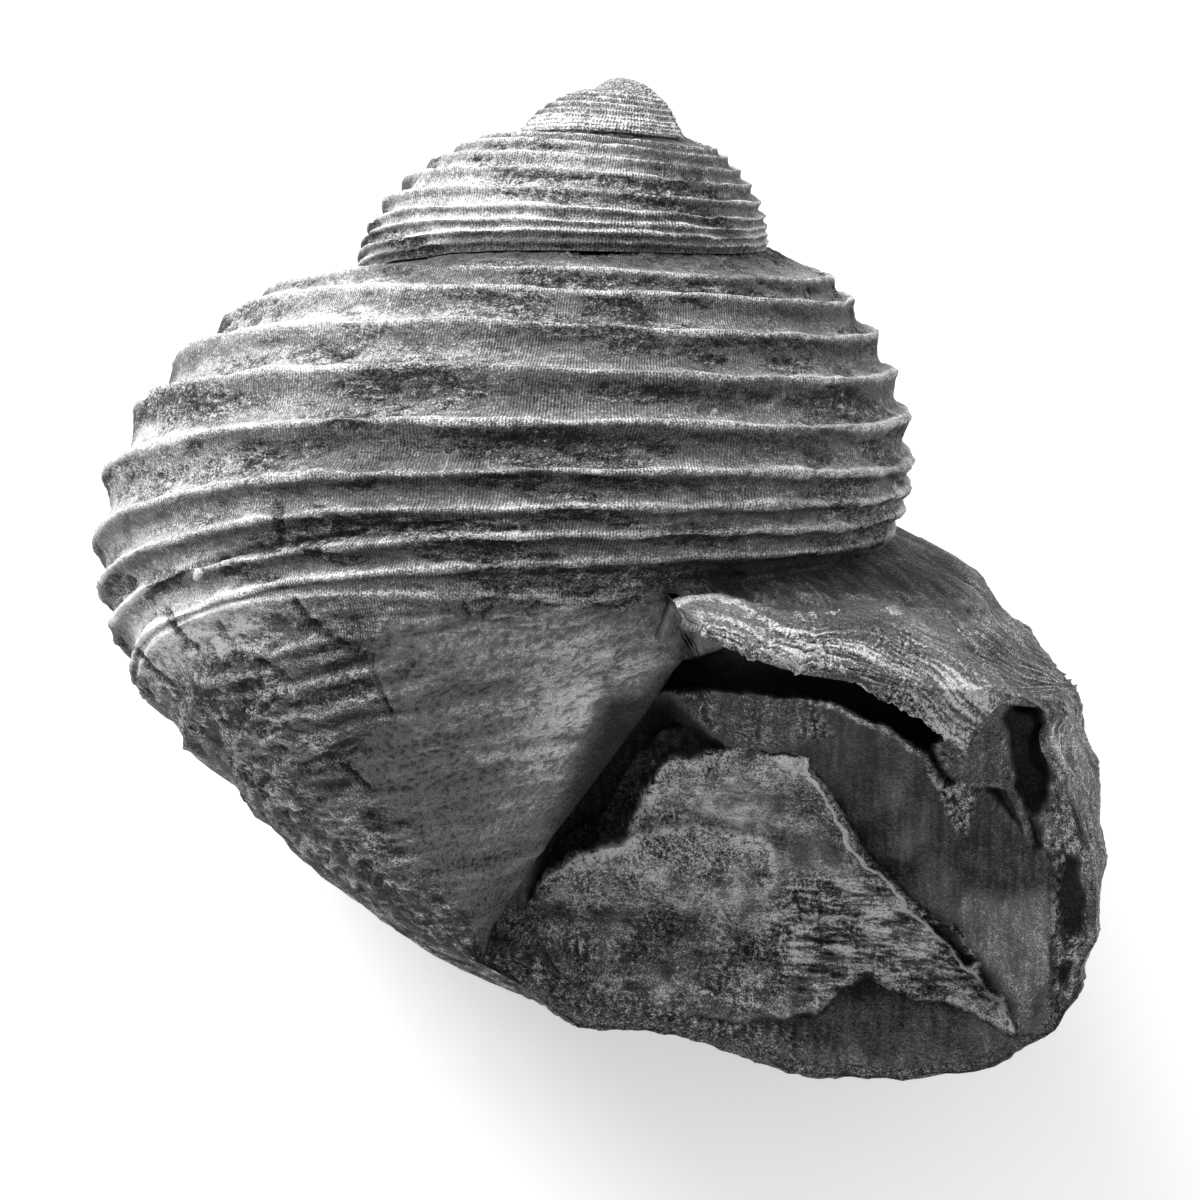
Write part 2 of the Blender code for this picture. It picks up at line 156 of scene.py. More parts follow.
def wander(x, y, amount, seed):  # picture coordinates pushed about by noise, so that outlines come out broken
    here = np.stack([x, y, 0 * x], -1)
    push = [amount * layered(here, 30.0, 4, seed + k, 0.6) for k in (0, 10)]
    return x + push[0], y + push[1]


def fade(piece, key, value):  # one of a piece's named fades, from 0 at its first place to 1 at its second
    return smooth(*piece["fades"][key], value)


def weighted(marks, shares):  # sum of named marks, each times its share
    return sum(share * marks[key] for key, share in shares.items())


def blend(value, wanted, share):  # value moved towards the wanted one by a share
    return value + (wanted - value) * share


def fromPicture(x, y, z):  # picture units to the coil's millimetres
    return np.stack([(x - 600) * unit, (600 - y) * unit, z * unit], -1)


def toPicture(points):  # and back
    return points[..., 0] / unit + 600, 600 - points[..., 1] / unit, points[..., 2] / unit


# The coil.

coil = {
    "axisFoot": (0.51, 8.26, 0.0), "leanDeg": 10.16, "tiltDeg": 2.6,
    "turns": (-4, -3.5, -3, -2.5, -2, -1.5, -1, -0.5, 0, 0.25),
    "sutureRadius": (0.08, 0.18, 0.34, 0.62, 0.99, 1.53, 2.53, 3.66, 5.38, 5.88),
    "sutureDepth": (0.0, 0.03, 0.13, 0.27, 0.70, 1.15, 2.18, 3.83, 6.37, 8.71),
    "widestRadius": (0.35, 0.64, 1.01, 1.55, 2.54, 3.74, 5.45, 7.17, 9.68, 10.29),
    "widestDepth": (0.13, 0.29, 0.70, 1.12, 2.12, 3.27, 5.48, 7.91, 11.82, 12.78),
    "shoulderPower": (1.9, 1.7, 1.5, 1.55, 1.75, 1.7, 1.8, 1.75, 2.0, 2.0),
    "firstTurn": -2.9, "seamTurn": -1.25, "lipTurn": 0.19,
    "baseTurns": (-4, -1, -0.81, -0.65, -0.5, -0.25, 0, 0.25),
    "basePower": (1.7, 1.7, 1.7, 2.0, 2.1, 2.6, 2.6, 2.6),
    "baseCurve": (1.5, 1.5, 1.5, 1.15, 1.0, 0.62, 0.20, 0.20),
    "baseDepth": (14.46, 14.46, 14.46, 14.46, 14.46, 14.78, 15.05, 15.05),
    "poleDepth": 14.46, "dimpleRadius": 2.08,
}
cords = {
    "origin": 0.32, "levels": (1.125, 1.235, 1.414, 1.64, 1.90, 2.15, 2.32, 2.465, 2.60),
    "lowLevels": (2.85, 3.02), "baseCount": 12, "overlap": 2.72,
    "hollow": 0.20, "baseHollow": 0.11,
    "ridgeHigh": 0.045, "ridgeWide": 0.055,  # millimetres
    "waver": 0.055, "waverTurns": 0.055,
}
lip = {
    # turns that the lip falls back, by the share of the way from the suture to the pole
    "share": (0, 0.144, 0.164, 0.175, 0.188, 0.203, 0.24, 0.262, 0.284, 0.30, 0.34, 0.386, 0.45, 0.5, 1.0),
    "back": (0, 0.004, 0.020, 0.038, 0.048, 0.113, 0.120, 0.124, 0.128, 0.138, 0.142, 0.158, 0.17, 0.175,
             0.17),
    "blendTurns": 0.45, "ragged": 0.0022, "tableStart": -0.45, "tableStep": 0.004,
}
mesh = {"bodySteps": 250, "spireSteps": 270, "upperRows": 8, "baseRows": 5, "spireRows": 9}
sutureLevel, lastLevel = 10, 24  # levels of a section: 0 at its suture, 10 at the next one, 24 at the pole


def axisFrame():  # right, forward and upward unit vectors of the coiling axis
    lean, tilt = np.radians(coil["leanDeg"]), np.radians(coil["tiltDeg"])
    right = np.array([np.cos(lean), -np.sin(lean), 0.0])
    up = np.array([np.sin(lean) * np.cos(tilt), np.cos(lean) * np.cos(tilt), -np.sin(tilt)])
    return right, -np.cross(up, right), up


def place(turn, radius, depth):  # point at a turn, a radius from the axis and a depth below the apex
    right, forward, up = axisFrame()
    angle = 2 * np.pi * turn
    return (np.array(coil["axisFoot"]) + (radius * np.cos(angle))[..., None] * right
            + (radius * np.sin(angle))[..., None] * forward - depth[..., None] * up)


def meridian(turn):
    # superellipse from suture to widest level, then a power curve to the pole, with arc length
    at = {key: through(coil["turns"], coil[key], turn)
          for key in ("sutureRadius", "sutureDepth", "widestRadius", "widestDepth", "shoulderPower")}
    power = 2.0 / at["shoulderPower"]
    angle = np.linspace(0, np.pi / 2, 400)
    upperR = blend(at["sutureRadius"], at["widestRadius"], np.sin(angle) ** power)
    upperD = blend(at["sutureDepth"], at["widestDepth"], 1 - np.abs(np.cos(angle)) ** power)
    share = 1 - (1 - np.linspace(0, 1, 800)) ** 1.6
    curve, roundOff, low = (through(coil["baseTurns"], coil[key], turn)
                            for key in ("basePower", "baseCurve", "baseDepth"))
    lowerR = at["widestRadius"] * (1 - share ** curve) ** roundOff
    lowerD = at["widestDepth"] + (low - at["widestDepth"]) * share
    lowerD -= (low - coil["poleDepth"]) * (1 - smooth(0, coil["dimpleRadius"], lowerR))
    radius, depth = np.r_[upperR, lowerR[1:]], np.r_[upperD, lowerD[1:]]
    return radius, depth, np.r_[0, np.cumsum(np.hypot(np.diff(radius), np.diff(depth)))]


def cordLevels(turn):  # arc lengths of suture, cords, next suture and base cords to the pole
    if turn > -0.5:  # past the widest part every level keeps its share of the arc
        radius, depth, arc = meridian(turn)
        _, _, halfArc, halfLevels = cordLevels(-0.5)
        return radius, depth, arc, halfLevels / halfArc[-1] * arc[-1]
    radius, depth, arc = meridian(turn)
    start = through(coil["turns"], coil["sutureDepth"], turn) + cords["origin"]
    if turn <= coil["lipTurn"] - 1 + 1e-9:
        overlap = (through(coil["turns"], coil["sutureDepth"], turn + 1) + cords["origin"]) / start
    else:
        overlap = 2.79 - 0.15 * smooth(-0.81, -0.6, turn)
    spread = overlap + (cords["overlap"] - overlap) * smooth(-1.3, -1.0, turn)
    upper = start * spread ** (np.log(cords["levels"]) / np.log(cords["overlap"]))
    lower = start * np.maximum(cords["lowLevels"], overlap + np.array([0.06, 0.2]))
    wanted = np.r_[start, upper, start * overlap, lower] - cords["origin"]
    levels = np.interp(wanted, np.maximum.accumulate(depth) + np.arange(len(depth)) * 1e-9, arc)
    levels[0] = 0.0
    even = np.arange(1, cords["baseCount"] + 1) / cords["baseCount"]
    return radius, depth, arc, np.r_[levels, levels[-1] + (arc[-1] - levels[-1]) * even]


def rowTable(upperRows, lowerRows):
    # each row's cord interval and its share of it, closer together at the cords
    interval, share = [], []
    for k in range(lastLevel):
        count = upperRows if k < sutureLevel else lowerRows
        even = np.arange(count) / count
        interval += [k] * count
        share += list(even - 0.55 * np.sin(2 * np.pi * even) / (2 * np.pi))
    return np.array(interval), np.array(share)


def turnTable(perTurn, first, last):
    # turns that repeat every turn: dense in front, fewer behind, with one on the lip and one on the seam
    fine = np.linspace(0, 1, 8001)
    dense = np.where(fine < 0.5, 0.55 + np.sin(2 * np.pi * fine), 0.12)
    dense = dense + 0.5 * smooth(0.84, 1.0, fine) + 0.3 * (1 - smooth(0.5, 0.56, fine)) * (fine >= 0.5)
    mass = np.r_[0, np.cumsum((dense[1:] + dense[:-1]) / 2)]
    mass /= mass[-1]
    marks = np.interp([0.0, coil["lipTurn"], 0.75, 1.0], fine, mass)
    counts = np.maximum(np.round(perTurn * np.diff(marks)).astype(int), 2)
    counts[-1] = perTurn - counts[:-1].sum()
    even = np.concatenate([np.linspace(a, b, n, endpoint=False)
                           for a, b, n in zip(marks[:-1], marks[1:], counts)])
    pattern = np.interp(even, mass, fine)
    turns = (np.arange(-4, 2)[:, None] + pattern[None, :]).ravel()
    return turns[(turns >= first - 1e-9) & (turns <= last + 1e-9)]


def levelPlaces(turn, stretch, apart):  # a place in the noise for each level, moving on with the turn
    count = lastLevel + 1
    return np.stack([np.full(count, turn / stretch), np.arange(count) * apart, np.zeros(count)], -1)


def waver(turn):  # how far each cord strays along the arc, in millimetres
    where = levelPlaces(turn, cords["waverTurns"], 7.3)
    stray = noise(where, 1.0, 11) + 0.55 * noise(where, 0.37, 12)
    growth = through(coil["turns"], coil["widestRadius"], turn) / 6.0
    stray *= cords["waver"] * min(growth, 1.0)
    stray[[0, sutureLevel, lastLevel - 1, lastLevel]] = 0.0
    return stray


def section(turn, interval, share, last):  # one section of the whorl: scalloped between narrow raised cords
    radius, depth, arc, levels = cordLevels(turn)
    room = 0.2 * np.gradient(levels)
    levels = levels + np.clip(waver(turn), -room, room)
    crestR, crestD = np.interp(levels, arc, radius), np.interp(levels, arc, depth)
    runR, runD = np.diff(crestR), np.diff(crestD)
    spacing = np.hypot(runR, runD)
    callus = smooth(-0.60, -0.72, turn) if turn < -0.4 else 0.0
    lipSide = smooth(-0.25, -0.05, turn)
    hollow = np.full(lastLevel, cords["hollow"])
    hollow[[0, sutureLevel - 1]] = 0.05
    hollow[sutureLevel:] = cords["baseHollow"] * (1 - callus)
    hollow *= 1 - 0.75 * lipSide
    hollow[-2:] = 0.0
    strength = np.r_[0.0, np.ones(9), 0.75, np.full(10, 0.55 * (1 - callus)), 0, 0, 0, 0]
    strength = strength * (1 - 0.8 * lipSide) * (0.9 + 0.35 * noise(levelPlaces(turn, 0.03, 5.1), 1.0, 21))

    def nearCords(wide):  # bell curve about the cords at both ends of an interval, times their strength
        return (strength[interval] * np.exp(-(share * spacing[interval] / wide) ** 2)
                + strength[interval + 1] * np.exp(-((1 - share) * spacing[interval] / wide) ** 2))

    rise = cords["ridgeHigh"] * nearCords(cords["ridgeWide"])
    crest = nearCords(cords["ridgeWide"] * 1.1)
    dip = hollow[interval] * spacing[interval] * np.sin(np.pi * share ** 1.3) - rise
    scaleR, scaleD = runR[interval] / spacing[interval], runD[interval] / spacing[interval]
    lineR = crestR[interval] + runR[interval] * share - dip * scaleD
    lineD = crestD[interval] + runD[interval] * share + dip * scaleR
    ways = (levels[interval] + np.diff(levels)[interval] * share) / arc[-1]
    if last:
        lineR, lineD = np.r_[lineR, crestR[-1]], np.r_[lineD, crestD[-1]]
        ways, crest = np.r_[ways, 1.0], np.r_[crest, 0.0]
    return lineR, lineD, ways, crest


def sections(turns, interval, share, last):  # radius, depth, way to the pole and crest of many sections
    return [np.array(rows) for rows in zip(*(section(turn, interval, share, last) for turn in turns))]


def whorl(turns, interval, share, last):
    # section points, ring by ring; near the lip a ring falls back by its share of the way to the pole
    radius, depth, ways, crest = sections(turns, interval, share, last)
    own = np.repeat(turns[:, None], radius.shape[1], 1)
    lipStart = coil["lipTurn"] - lip["blendTurns"]
    near = np.flatnonzero(turns > lipStart)
    if len(near):
        step = lip["tableStep"]
        tableTurns = np.arange(lip["tableStart"], coil["lipTurn"] + step, step)
        tableR, tableD, _, tableCrest = sections(tableTurns, interval, share, last)
        way = ways[near]
        ragged = lip["ragged"] * layered(np.stack([way * 60, 0 * way, 0 * way], -1), 1.6, 3, 31)
        back = through(lip["share"], lip["back"], way) + ragged * smooth(0.02, 0.08, way)
        own[near] = turns[near][:, None] - back * smooth(lipStart, coil["lipTurn"], turns[near])[:, None]
        row = np.clip((own[near] - tableTurns[0]) / step, 0, len(tableTurns) - 1.001)
        low = row.astype(int)
        column = np.arange(own.shape[1])[None, :]
        for target, table in ((radius, tableR), (depth, tableD), (crest, tableCrest)):
            target[near] = blend(table[low, column], table[low + 1, column], row - low)
    return place(own, radius, depth), own, ways, crest, radius


def outward(points, radiusHint):  # unit normals of a grid of points, pointing away from the coiling axis
    alongRing, alongRow = np.gradient(points, axis=0), np.gradient(points, axis=1)
    normal = np.cross(alongRing, alongRow)
    normal /= np.linalg.norm(normal, axis=-1, keepdims=True) + 1e-12
    _, _, up = axisFrame()
    foot = np.array(coil["axisFoot"])
    fromAxis = points - foot
    fromAxis = fromAxis - (fromAxis @ up)[..., None] * up
    side = np.sign(np.median((normal * fromAxis).sum(-1)))
    return normal * side


# Meshes.

def boundaryLoops(faces):  # open edges of a list of faces, chained, each loop wound so that a cap closes it
    edges = {}
    for face in faces:
        for a, b in zip(face, face[1:] + face[:1]):
            edges[(a, b)] = True
    following = {b: a for a, b in edges if (b, a) not in edges}
    loops = []
    while following:
        start = next(iter(following))
        loop, at = [start], following.pop(start)
        while at != start:
            loop.append(at)
            at = following.pop(at)
        loops.append(loop)
    return loops


def quadFaces(numbers):  # faces between neighbouring rows and columns of a grid of vertex numbers
    a, b = numbers[:-1, :-1], numbers[1:, :-1]
    c, d = numbers[1:, 1:], numbers[:-1, 1:]
    return np.stack([a, b, c, d], -1).reshape(-1, 4)


def cleanFaces(faces):  # lists without repeated neighbours, so a row that meets in one point gives triangles
    same = (faces == np.roll(faces, 1, 1))
    plain = faces[~same.any(1)].tolist()
    short = [[v for j, v in enumerate(face) if v != face[j - 1]] for face in faces[same.any(1)].tolist()]
    return plain + [face for face in short if len(set(face)) > 2]


def ringFaces(outer, inner):  # four-sided faces between two rings of vertex numbers
    return [list(face) for face in zip(outer, outer[1:] + outer[:1], inner[1:] + inner[:1], inner)]


def joinRings(points, faces, fields, loop, rings, middle, keep):
    # rings of points inside a loop, each joined to the one before, and a middle point that closes the last;
    # their fields are those of the loop, times keep
    previous = list(loop)
    for ring in rings:
        current = list(range(len(points), len(points) + len(loop)))
        points = np.vstack([points, ring])
        faces = faces + ringFaces(previous, current)
        fields = {key: np.r_[value, value[loop] * keep] for key, value in fields.items()}
        previous = current
    fields = {key: np.r_[value, value[loop].mean() * keep] for key, value in fields.items()}
    faces = faces + [[a, b, len(points)] for a, b in zip(previous, previous[1:] + previous[:1])]
    return np.vstack([points, middle[None]]), faces, fields


def capLoop(points, faces, fields, loop, middle, count, bulge):
    # closes a loop with rings that shrink to a middle point, raised by a bulge in between
    start = points[loop]
    shares = 1 - np.arange(1, count + 1) / (count + 1)
    rings = [middle + (start - middle) * share + bulge * (1 - share ** 2) * share * 2 for share in shares]
    return joinRings(points, faces, fields, loop, rings, middle, 1.0)


def keepUsed(points, faces, fields):  # only the points that the faces use, numbered anew
    used, faces = np.unique(faces, return_inverse=True)
    fields = {key: value.reshape(-1)[used] for key, value in fields.items()}
    return points.reshape(-1, 3)[used], cleanFaces(faces.reshape(-1, 4)), fields, used


def makePiece(name, points, faces, fields, node, slot, material):  # one surface, riding on the part
    data = bpy.data.meshes.new(name)
    data.from_pydata(((points - origin) * mm).tolist(), [], faces)
    data.polygons.foreach_set("use_smooth", np.ones(len(data.polygons), bool))
    for key, values in fields.items():
        layer = data.attributes.new(key, "FLOAT", "POINT")
        layer.data.foreach_set("value", np.asarray(values, np.float32))
    data.update()
    data.materials.append(material)
    piece = bpy.data.objects.new(name, data)
    bpy.context.scene.collection.objects.link(piece)
    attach(piece, "root")
    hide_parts(node)
    print(name, len(points), "points", sum(len(face) - 2 for face in faces), "triangles")


# Materials.

def linear(hexColour):  # sRGB hex to linear red, green, blue
    parts = np.array([int(hexColour[k:k + 2], 16) for k in (1, 3, 5)]) / 255.0
    return tuple(np.where(parts <= 0.04045, parts / 12.92, ((parts + 0.055) / 1.055) ** 2.4)) + (1.0,)


def addNode(tree, kind, settings=None, links=None):  # a node with its settings, and links to its inputs
    node = tree.nodes.new(kind)
    for key, value in (settings or {}).items():
        if isinstance(key, int) or key in node.inputs.keys():
            node.inputs[key].default_value = value
        else:
            setattr(node, key, value)
    for key, source in (links or {}).items():
        tree.links.new(source, node.inputs[key])
    return node.outputs[0]


def stoneMaterial(name, look):
    # tone from a field, plus specks, flecks and patches of noise that grow with roughness, plus painted
    # highlights on edges, broken up into grains; the same noises and the growth threads make a fine relief
    material = bpy.data.materials.new(name)
    material.use_nodes = True
    tree = material.node_tree
    shader = tree.nodes["Principled BSDF"]
    for key in ("Roughness", "IOR", "Specular IOR Level"):
        shader.inputs[key].default_value = look[key]
    spot = tree.nodes.new("ShaderNodeTexCoord").outputs["Object"]
    field = {key: None for key in ("tone", "edge", "rough", "dash", "thread", "threadStrength")}
    for key in field:
        attribute = tree.nodes.new("ShaderNodeAttribute")
        attribute.attribute_name = key
        field[key] = attribute.outputs["Fac"]
    grain = {}
    for key, (sizeMm, detail, rough) in look["noises"].items():
        noiseOut = addNode(tree, "ShaderNodeTexNoise",
                           {"Scale": 1.0 / (sizeMm * mm), "Detail": detail, "Roughness": rough},
                           {"Vector": spot})
        grain[key] = addNode(tree, "ShaderNodeMath", {"operation": "SUBTRACT", 1: 0.5}, {0: noiseOut})

    # dashes are the same noise drawn out level with the cords
    drawnOut = addNode(tree, "ShaderNodeMapping", {"Scale": look["dashStretch"]}, {"Vector": spot})
    dashNoise = addNode(tree, "ShaderNodeTexNoise",
                        {"Scale": 1.0 / (look["dashSize"] * mm), "Detail": 3.0, "Roughness": 0.65},
                        {"Vector": drawnOut})
    dashEven = addNode(tree, "ShaderNodeMath", {"operation": "SUBTRACT", 1: 0.5}, {0: dashNoise})
    dashes = addNode(tree, "ShaderNodeMath", {"operation": "MULTIPLY"}, {0: dashEven, 1: field["dash"]})

    def sumOf(terms):  # sum of products; each term is a number, a field or output, and a share of roughness
        total = None
        for amount, source, roughShare in terms:
            scale = addNode(tree, "ShaderNodeMath", {"operation": "MULTIPLY_ADD", 1: amount * roughShare,
                                                     2: amount * (1 - roughShare)}, {0: field["rough"]})
            term = addNode(tree, "ShaderNodeMath", {"operation": "MULTIPLY"}, {0: source, 1: scale})
            total = term if total is None else addNode(tree, "ShaderNodeMath", {"operation": "ADD"},
                                                       {0: total, 1: term})
        return total

    # painted highlight: the edge field, brightened and broken up by the specks
    brokenEdge = addNode(tree, "ShaderNodeMath", {"operation": "MULTIPLY_ADD", 1: 3.0, 2: 0.75},
                         {0: grain["speck"]})
    paintedHighlight = addNode(tree, "ShaderNodeMath", {"operation": "MULTIPLY"}, {0: field["edge"], 1: brokenEdge})
    turns = addNode(tree, "ShaderNodeMath", {"operation": "MULTIPLY", 1: 2 * np.pi}, {0: field["thread"]})
    wave = addNode(tree, "ShaderNodeMath", {"operation": "SINE"}, {0: turns})
    threads = addNode(tree, "ShaderNodeMath", {"operation": "MULTIPLY"},
                      {0: wave, 1: field["threadStrength"]})
    value = sumOf([(1.0, field["tone"], 0.0), (look["speck"], grain["speck"], 0.75),
                   (look["fleck"], grain["fleck"], 0.8), (look["patch"], grain["patch"], 0.3),
                   (look["edge"], paintedHighlight, 0.0), (look["threadTone"], threads, 0.0),
                   (look["dash"], dashes, 0.0)])
    ramp = tree.nodes.new("ShaderNodeValToRGB")
    ramp.color_ramp.elements[0].color = linear(look["dark"])
    ramp.color_ramp.elements[1].color = linear(look["light"])
    ramp.color_ramp.elements.new(0.5).color = linear(look["middle"])
    tree.links.new(value, ramp.inputs["Fac"])
    tree.links.new(ramp.outputs["Color"], shader.inputs["Base Color"])
    relief = sumOf([(look["threadHigh"], threads, 0.0), (look["speckHigh"], grain["speck"], 0.75),
                    (look["fleckHigh"], grain["fleck"], 0.8), (look["dashHigh"], dashes, 0.0)])
    normal = addNode(tree, "ShaderNodeBump", {"Strength": 1.0, "Distance": mm}, {"Height": relief})
    tree.links.new(normal, shader.inputs["Normal"])
    return material


# Calcite shell turned to stone: matt and a little chalky, with painted highlights on the cords.
calcite = stoneMaterial("weatheredCalcite", {
    "Roughness": 0.72, "IOR": 1.6, "Specular IOR Level": 0.25,
    "dark": "#161616", "middle": "#747474", "light": "#f2f2f2",
    "noises": {"speck": (0.030, 2.0, 0.75), "fleck": (0.075, 3.0, 0.7), "patch": (0.45, 4.0, 0.65)},
    "speck": 2.6, "fleck": 1.3, "patch": 0.45, "edge": 0.42, "threadTone": 0.11,
    "speckHigh": 0.10, "fleckHigh": 0.11, "threadHigh": 0.010,
    "dashStretch": (0.24, 1.0, 0.5), "dashSize": 0.085, "dash": 2.4, "dashHigh": 0.14})
# Fine-grained mudstone that set inside the mouth: dull and crumbly, with painted highlights on broken grains.
mudstone = stoneMaterial("crumblyMudstone", {
    "Roughness": 0.85, "IOR": 1.55, "Specular IOR Level": 0.2,
    "dark": "#141414", "middle": "#6c6c6c", "light": "#ececec",
    "noises": {"speck": (0.030, 2.0, 0.75), "fleck": (0.11, 3.0, 0.75), "patch": (0.35, 4.0, 0.7)},
    "speck": 3.0, "fleck": 1.6, "patch": 0.55, "edge": 0.45, "threadTone": 0.0,
    "speckHigh": 0.11, "fleckHigh": 0.14, "threadHigh": 0.0,
    "dashStretch": (0.24, 1.0, 0.5), "dashSize": 0.10, "dash": 2.0, "dashHigh": 0.14})
print("materials made")


# Shell surface detail. Places are in picture units, depths in millimetres.
surface = {
    "threadStep": 0.056, "threadSlant": 0.8,
    "lumps": 0.045, "flakeDepth": 0.030, "crackDepth": 0.07, "grain": 0.013, "scratch": 0.012,
    "baseStreaks": 0.020, "highStreaks": 0.030, "lipLayers": 0.030,
    # how far chips, traces and flecks rise
    "rises": {"traces": 0.018, "chips": -0.022, "flecks": -0.012},
    # the tone all over, and how much lighter each mark makes it; among the marks are painted light high on
    # the left and painted shade in the sutures and under the overhang
    "tone": 0.42,
    "tones": {"wide": 0.07, "paintedLightHigh": 0.30, "paintedSutureShade": -0.16, "paintedUnderShade": -0.38, "bands": 0.27, "flaked": -0.11,
              "scar": -0.24, "chips": -0.08, "crack": -0.45},
    # on the callus, the lighter place beside the mouth is painted light and the place under the overhang
    # painted shade
    "callusTone": 0.42,
    "callusTones": {"paintedCallusLight": 0.26, "far": -0.12, "corner": 0.10, "bands": 0.24, "flecks": -0.20, "soft": 0.04,
                    "paintedUnderShade": -0.15},
    # named fades, each from its first place to its second
    "fades": {"flakesTop": (190, 290), "streaksFoot": (900, 760), "lipLayers": (500, 620),
              "leftX": (330, 170), "leftY": (690, 630), "bandLeft": (350, 400), "bandRight": (775, 745),
              "paintedLightTop": (640, 720), "paintedLightFoot": (860, 740), "cornerX": (420, 560), "cornerY": (760, 640),
              "lowY": (955, 1010), "lowX": (480, 540), "lipDrop": (990, 1060)},
    # where flakes are thickest: middle and reach; where the callus is painted lighter: middle and reach
    "flakesMiddle": (540, 190), "paintedLightSpot": (592, 668, 60, 50),
    # painted shade in the concave band between the whorls: middle, sag over its reach, half width and tone
    "paintedBandShade": {"x": 560, "y": 251, "sag": 10, "reach": 160, "half": 15, "tone": 0.16},
    # smooth layer laid over the base beside the mouth
    "callus": [(380, 622), (420, 612), (640, 602), (676, 590), (760, 600), (760, 700), (640, 760),
               (600, 1000), (545, 1010), (500, 960), (470, 940), (440, 885), (400, 825), (362, 775),
               (350, 748), (376, 735), (393, 715), (383, 690), (370, 652)],
    # where the surface rolls over into the dark hollow of the mouth
    "hollow": [(745, 648), (715, 652), (684, 662), (662, 670), (641, 687), (610, 692), (599, 704),
               (575, 760), (550, 820), (540, 870), (531, 905), (545, 950), (700, 960), (760, 800),
               (760, 660)],
    "rollReach": 16.0, "rollRound": 75.0,
    # edge of the base against the background, and how steeply the streaks over the base rise to the right
    "baseEdge": [(120, 640), (135, 700), (240, 800), (335, 890), (440, 950), (570, 1025)],
    "streakRise": 0.22,
    # painted shade under the overhang of the whorl
    "underhangShadeOutline": [(640, 590), (700, 562), (790, 558), (880, 540), (950, 560), (960, 596), (870, 602),
                  (780, 602), (700, 594)],
    # wide soft spots of painted light and shade: middle, half width, half height and how much lighter
    "paintedLightShadeSpots": [
        (400, 318, 250, 44, 0.21), (560, 176, 130, 50, 0.24), (440, 190, 60, 50, 0.10),
        (620, 131, 66, 8, -0.26), (480, 535, 260, 44, -0.09), (190, 455, 80, 34, 0.12),
        (136, 636, 34, 44, 0.22), (700, 386, 60, 34, -0.12), (420, 462, 240, 34, -0.10),
        (190, 604, 80, 28, 0.14), (230, 640, 90, 34, 0.20), (960, 612, 70, 40, -0.16),
        (1066, 760, 26, 120, 0.16), (640, 142, 70, 24, -0.12),
    ],
    # how far the lower lip is drawn out, where and over what breadth
    "lowerLip": (10.0, 890.0, 110.0),
    # places where the outline is drawn in: a line, its reach and how far to the right and down
    "drawnIn": [([(212, 784), (280, 850), (360, 915), (440, 968), (510, 1000)], 60.0, (7.0, -11.0)),
                ([(640, 1040), (720, 1060)], 36.0, (0.0, -13.0)),
                ([(1010, 594), (1042, 622)], 34.0, (-10.0, 10.0))],
    # dark cracks across the base, each a line and its width
    "cracks": [
        ([(299, 601), (312, 616), (326, 630), (342, 640)], 5.0),
        ([(342, 640), (356, 648), (372, 653), (377, 668), (386, 690), (392, 712)], 2.4),
        ([(352, 752), (372, 746), (394, 736)], 2.4),
        ([(171, 610), (176, 628), (190, 642), (186, 655)], 4.0),
        ([(221, 625), (232, 642), (250, 658)], 4.0), ([(138, 650), (150, 664), (172, 682)], 4.0),
        ([(190, 643), (215, 655), (250, 658), (290, 672)], 4.0),
        ([(465, 603), (470, 622), (486, 628), (510, 622), (528, 612), (538, 602)], 3.0),
        ([(344, 766), (356, 774), (370, 786)], 3.0), ([(562, 594), (590, 594), (598, 588)], 4.0),
        ([(150, 596), (190, 570), (250, 552), (300, 541), (400, 528), (470, 521)], 3.5),
    ],
    # chips and flaked spots: place, half width, half height, depth and how dark
    "scars": [
        (283, 522, 6, 19, 0.09, 0.9), (168, 581, 24, 13, 0.06, 0.8), (122, 586, 14, 12, 0.09, 0.9),
        (199, 413, 16, 12, 0.03, 0.6), (198, 450, 9, 8, 0.05, 0.8), (503, 613, 32, 12, 0.05, 0.55),
        (757, 401, 13, 9, 0.02, 0.5), (237, 566, 14, 7, 0.02, 0.4), (430, 395, 60, 9, 0.02, 0.6),
        (545, 440, 60, 12, 0.03, 0.75), (690, 537, 52, 13, 0.02, 0.6), (505, 484, 44, 8, 0.04, 0.75),
        (655, 489, 40, 7, 0.02, 0.45), (470, 545, 70, 8, 0.02, 0.6), (830, 400, 46, 10, 0.02, 0.5),
        (560, 330, 60, 10, 0.02, 0.5), (330, 352, 46, 8, 0.02, 0.45), (480, 300, 34, 7, 0.02, 0.5),
        (640, 397, 60, 10, 0.02, 0.6), (770, 345, 60, 8, 0.02, 0.5), (300, 450, 50, 9, 0.02, 0.45),
        (250, 480, 26, 5, 0.02, 0.4), (815, 455, 16, 18, 0.02, 0.5), (620, 320, 40, 6, 0.02, 0.5),
        (230, 700, 60, 8, 0.03, 0.5), (250, 730, 70, 7, 0.03, 0.5), (200, 690, 40, 7, 0.03, 0.5),
        (300, 765, 60, 7, 0.03, 0.4), (290, 690, 40, 6, 0.03, 0.5),
    ],
    # round grains stuck to the shell
    "knobs": [(203, 573, 6, 0.09), (712, 415, 4, 0.05), (438, 391, 5, 0.05), (635, 583, 4, 0.04)],
}


def alongWhorl(turn):  # millimetres along the widest line of the coil
    marks = np.linspace(-4, 0.25, 600)
    radius = through(coil["turns"], coil["widestRadius"], marks)
    length = np.r_[0, np.cumsum(np.pi * (radius[1:] + radius[:-1]) * np.diff(marks))]
    return np.interp(turn, marks, length)


def stretched(flow, share):  # places drawn together along the cords, so that noise runs on along them
    return flow * np.array([share, 1.0, 1.0])


def linesOn(x, y, lines, core):  # 1 on each of a list of lines, 0 beyond its width, level over its core
    found = 0 * x
    for line, width in lines:
        found = np.maximum(found, 1 - smooth(width * core, width, offLine(x, y, line)))
    return found


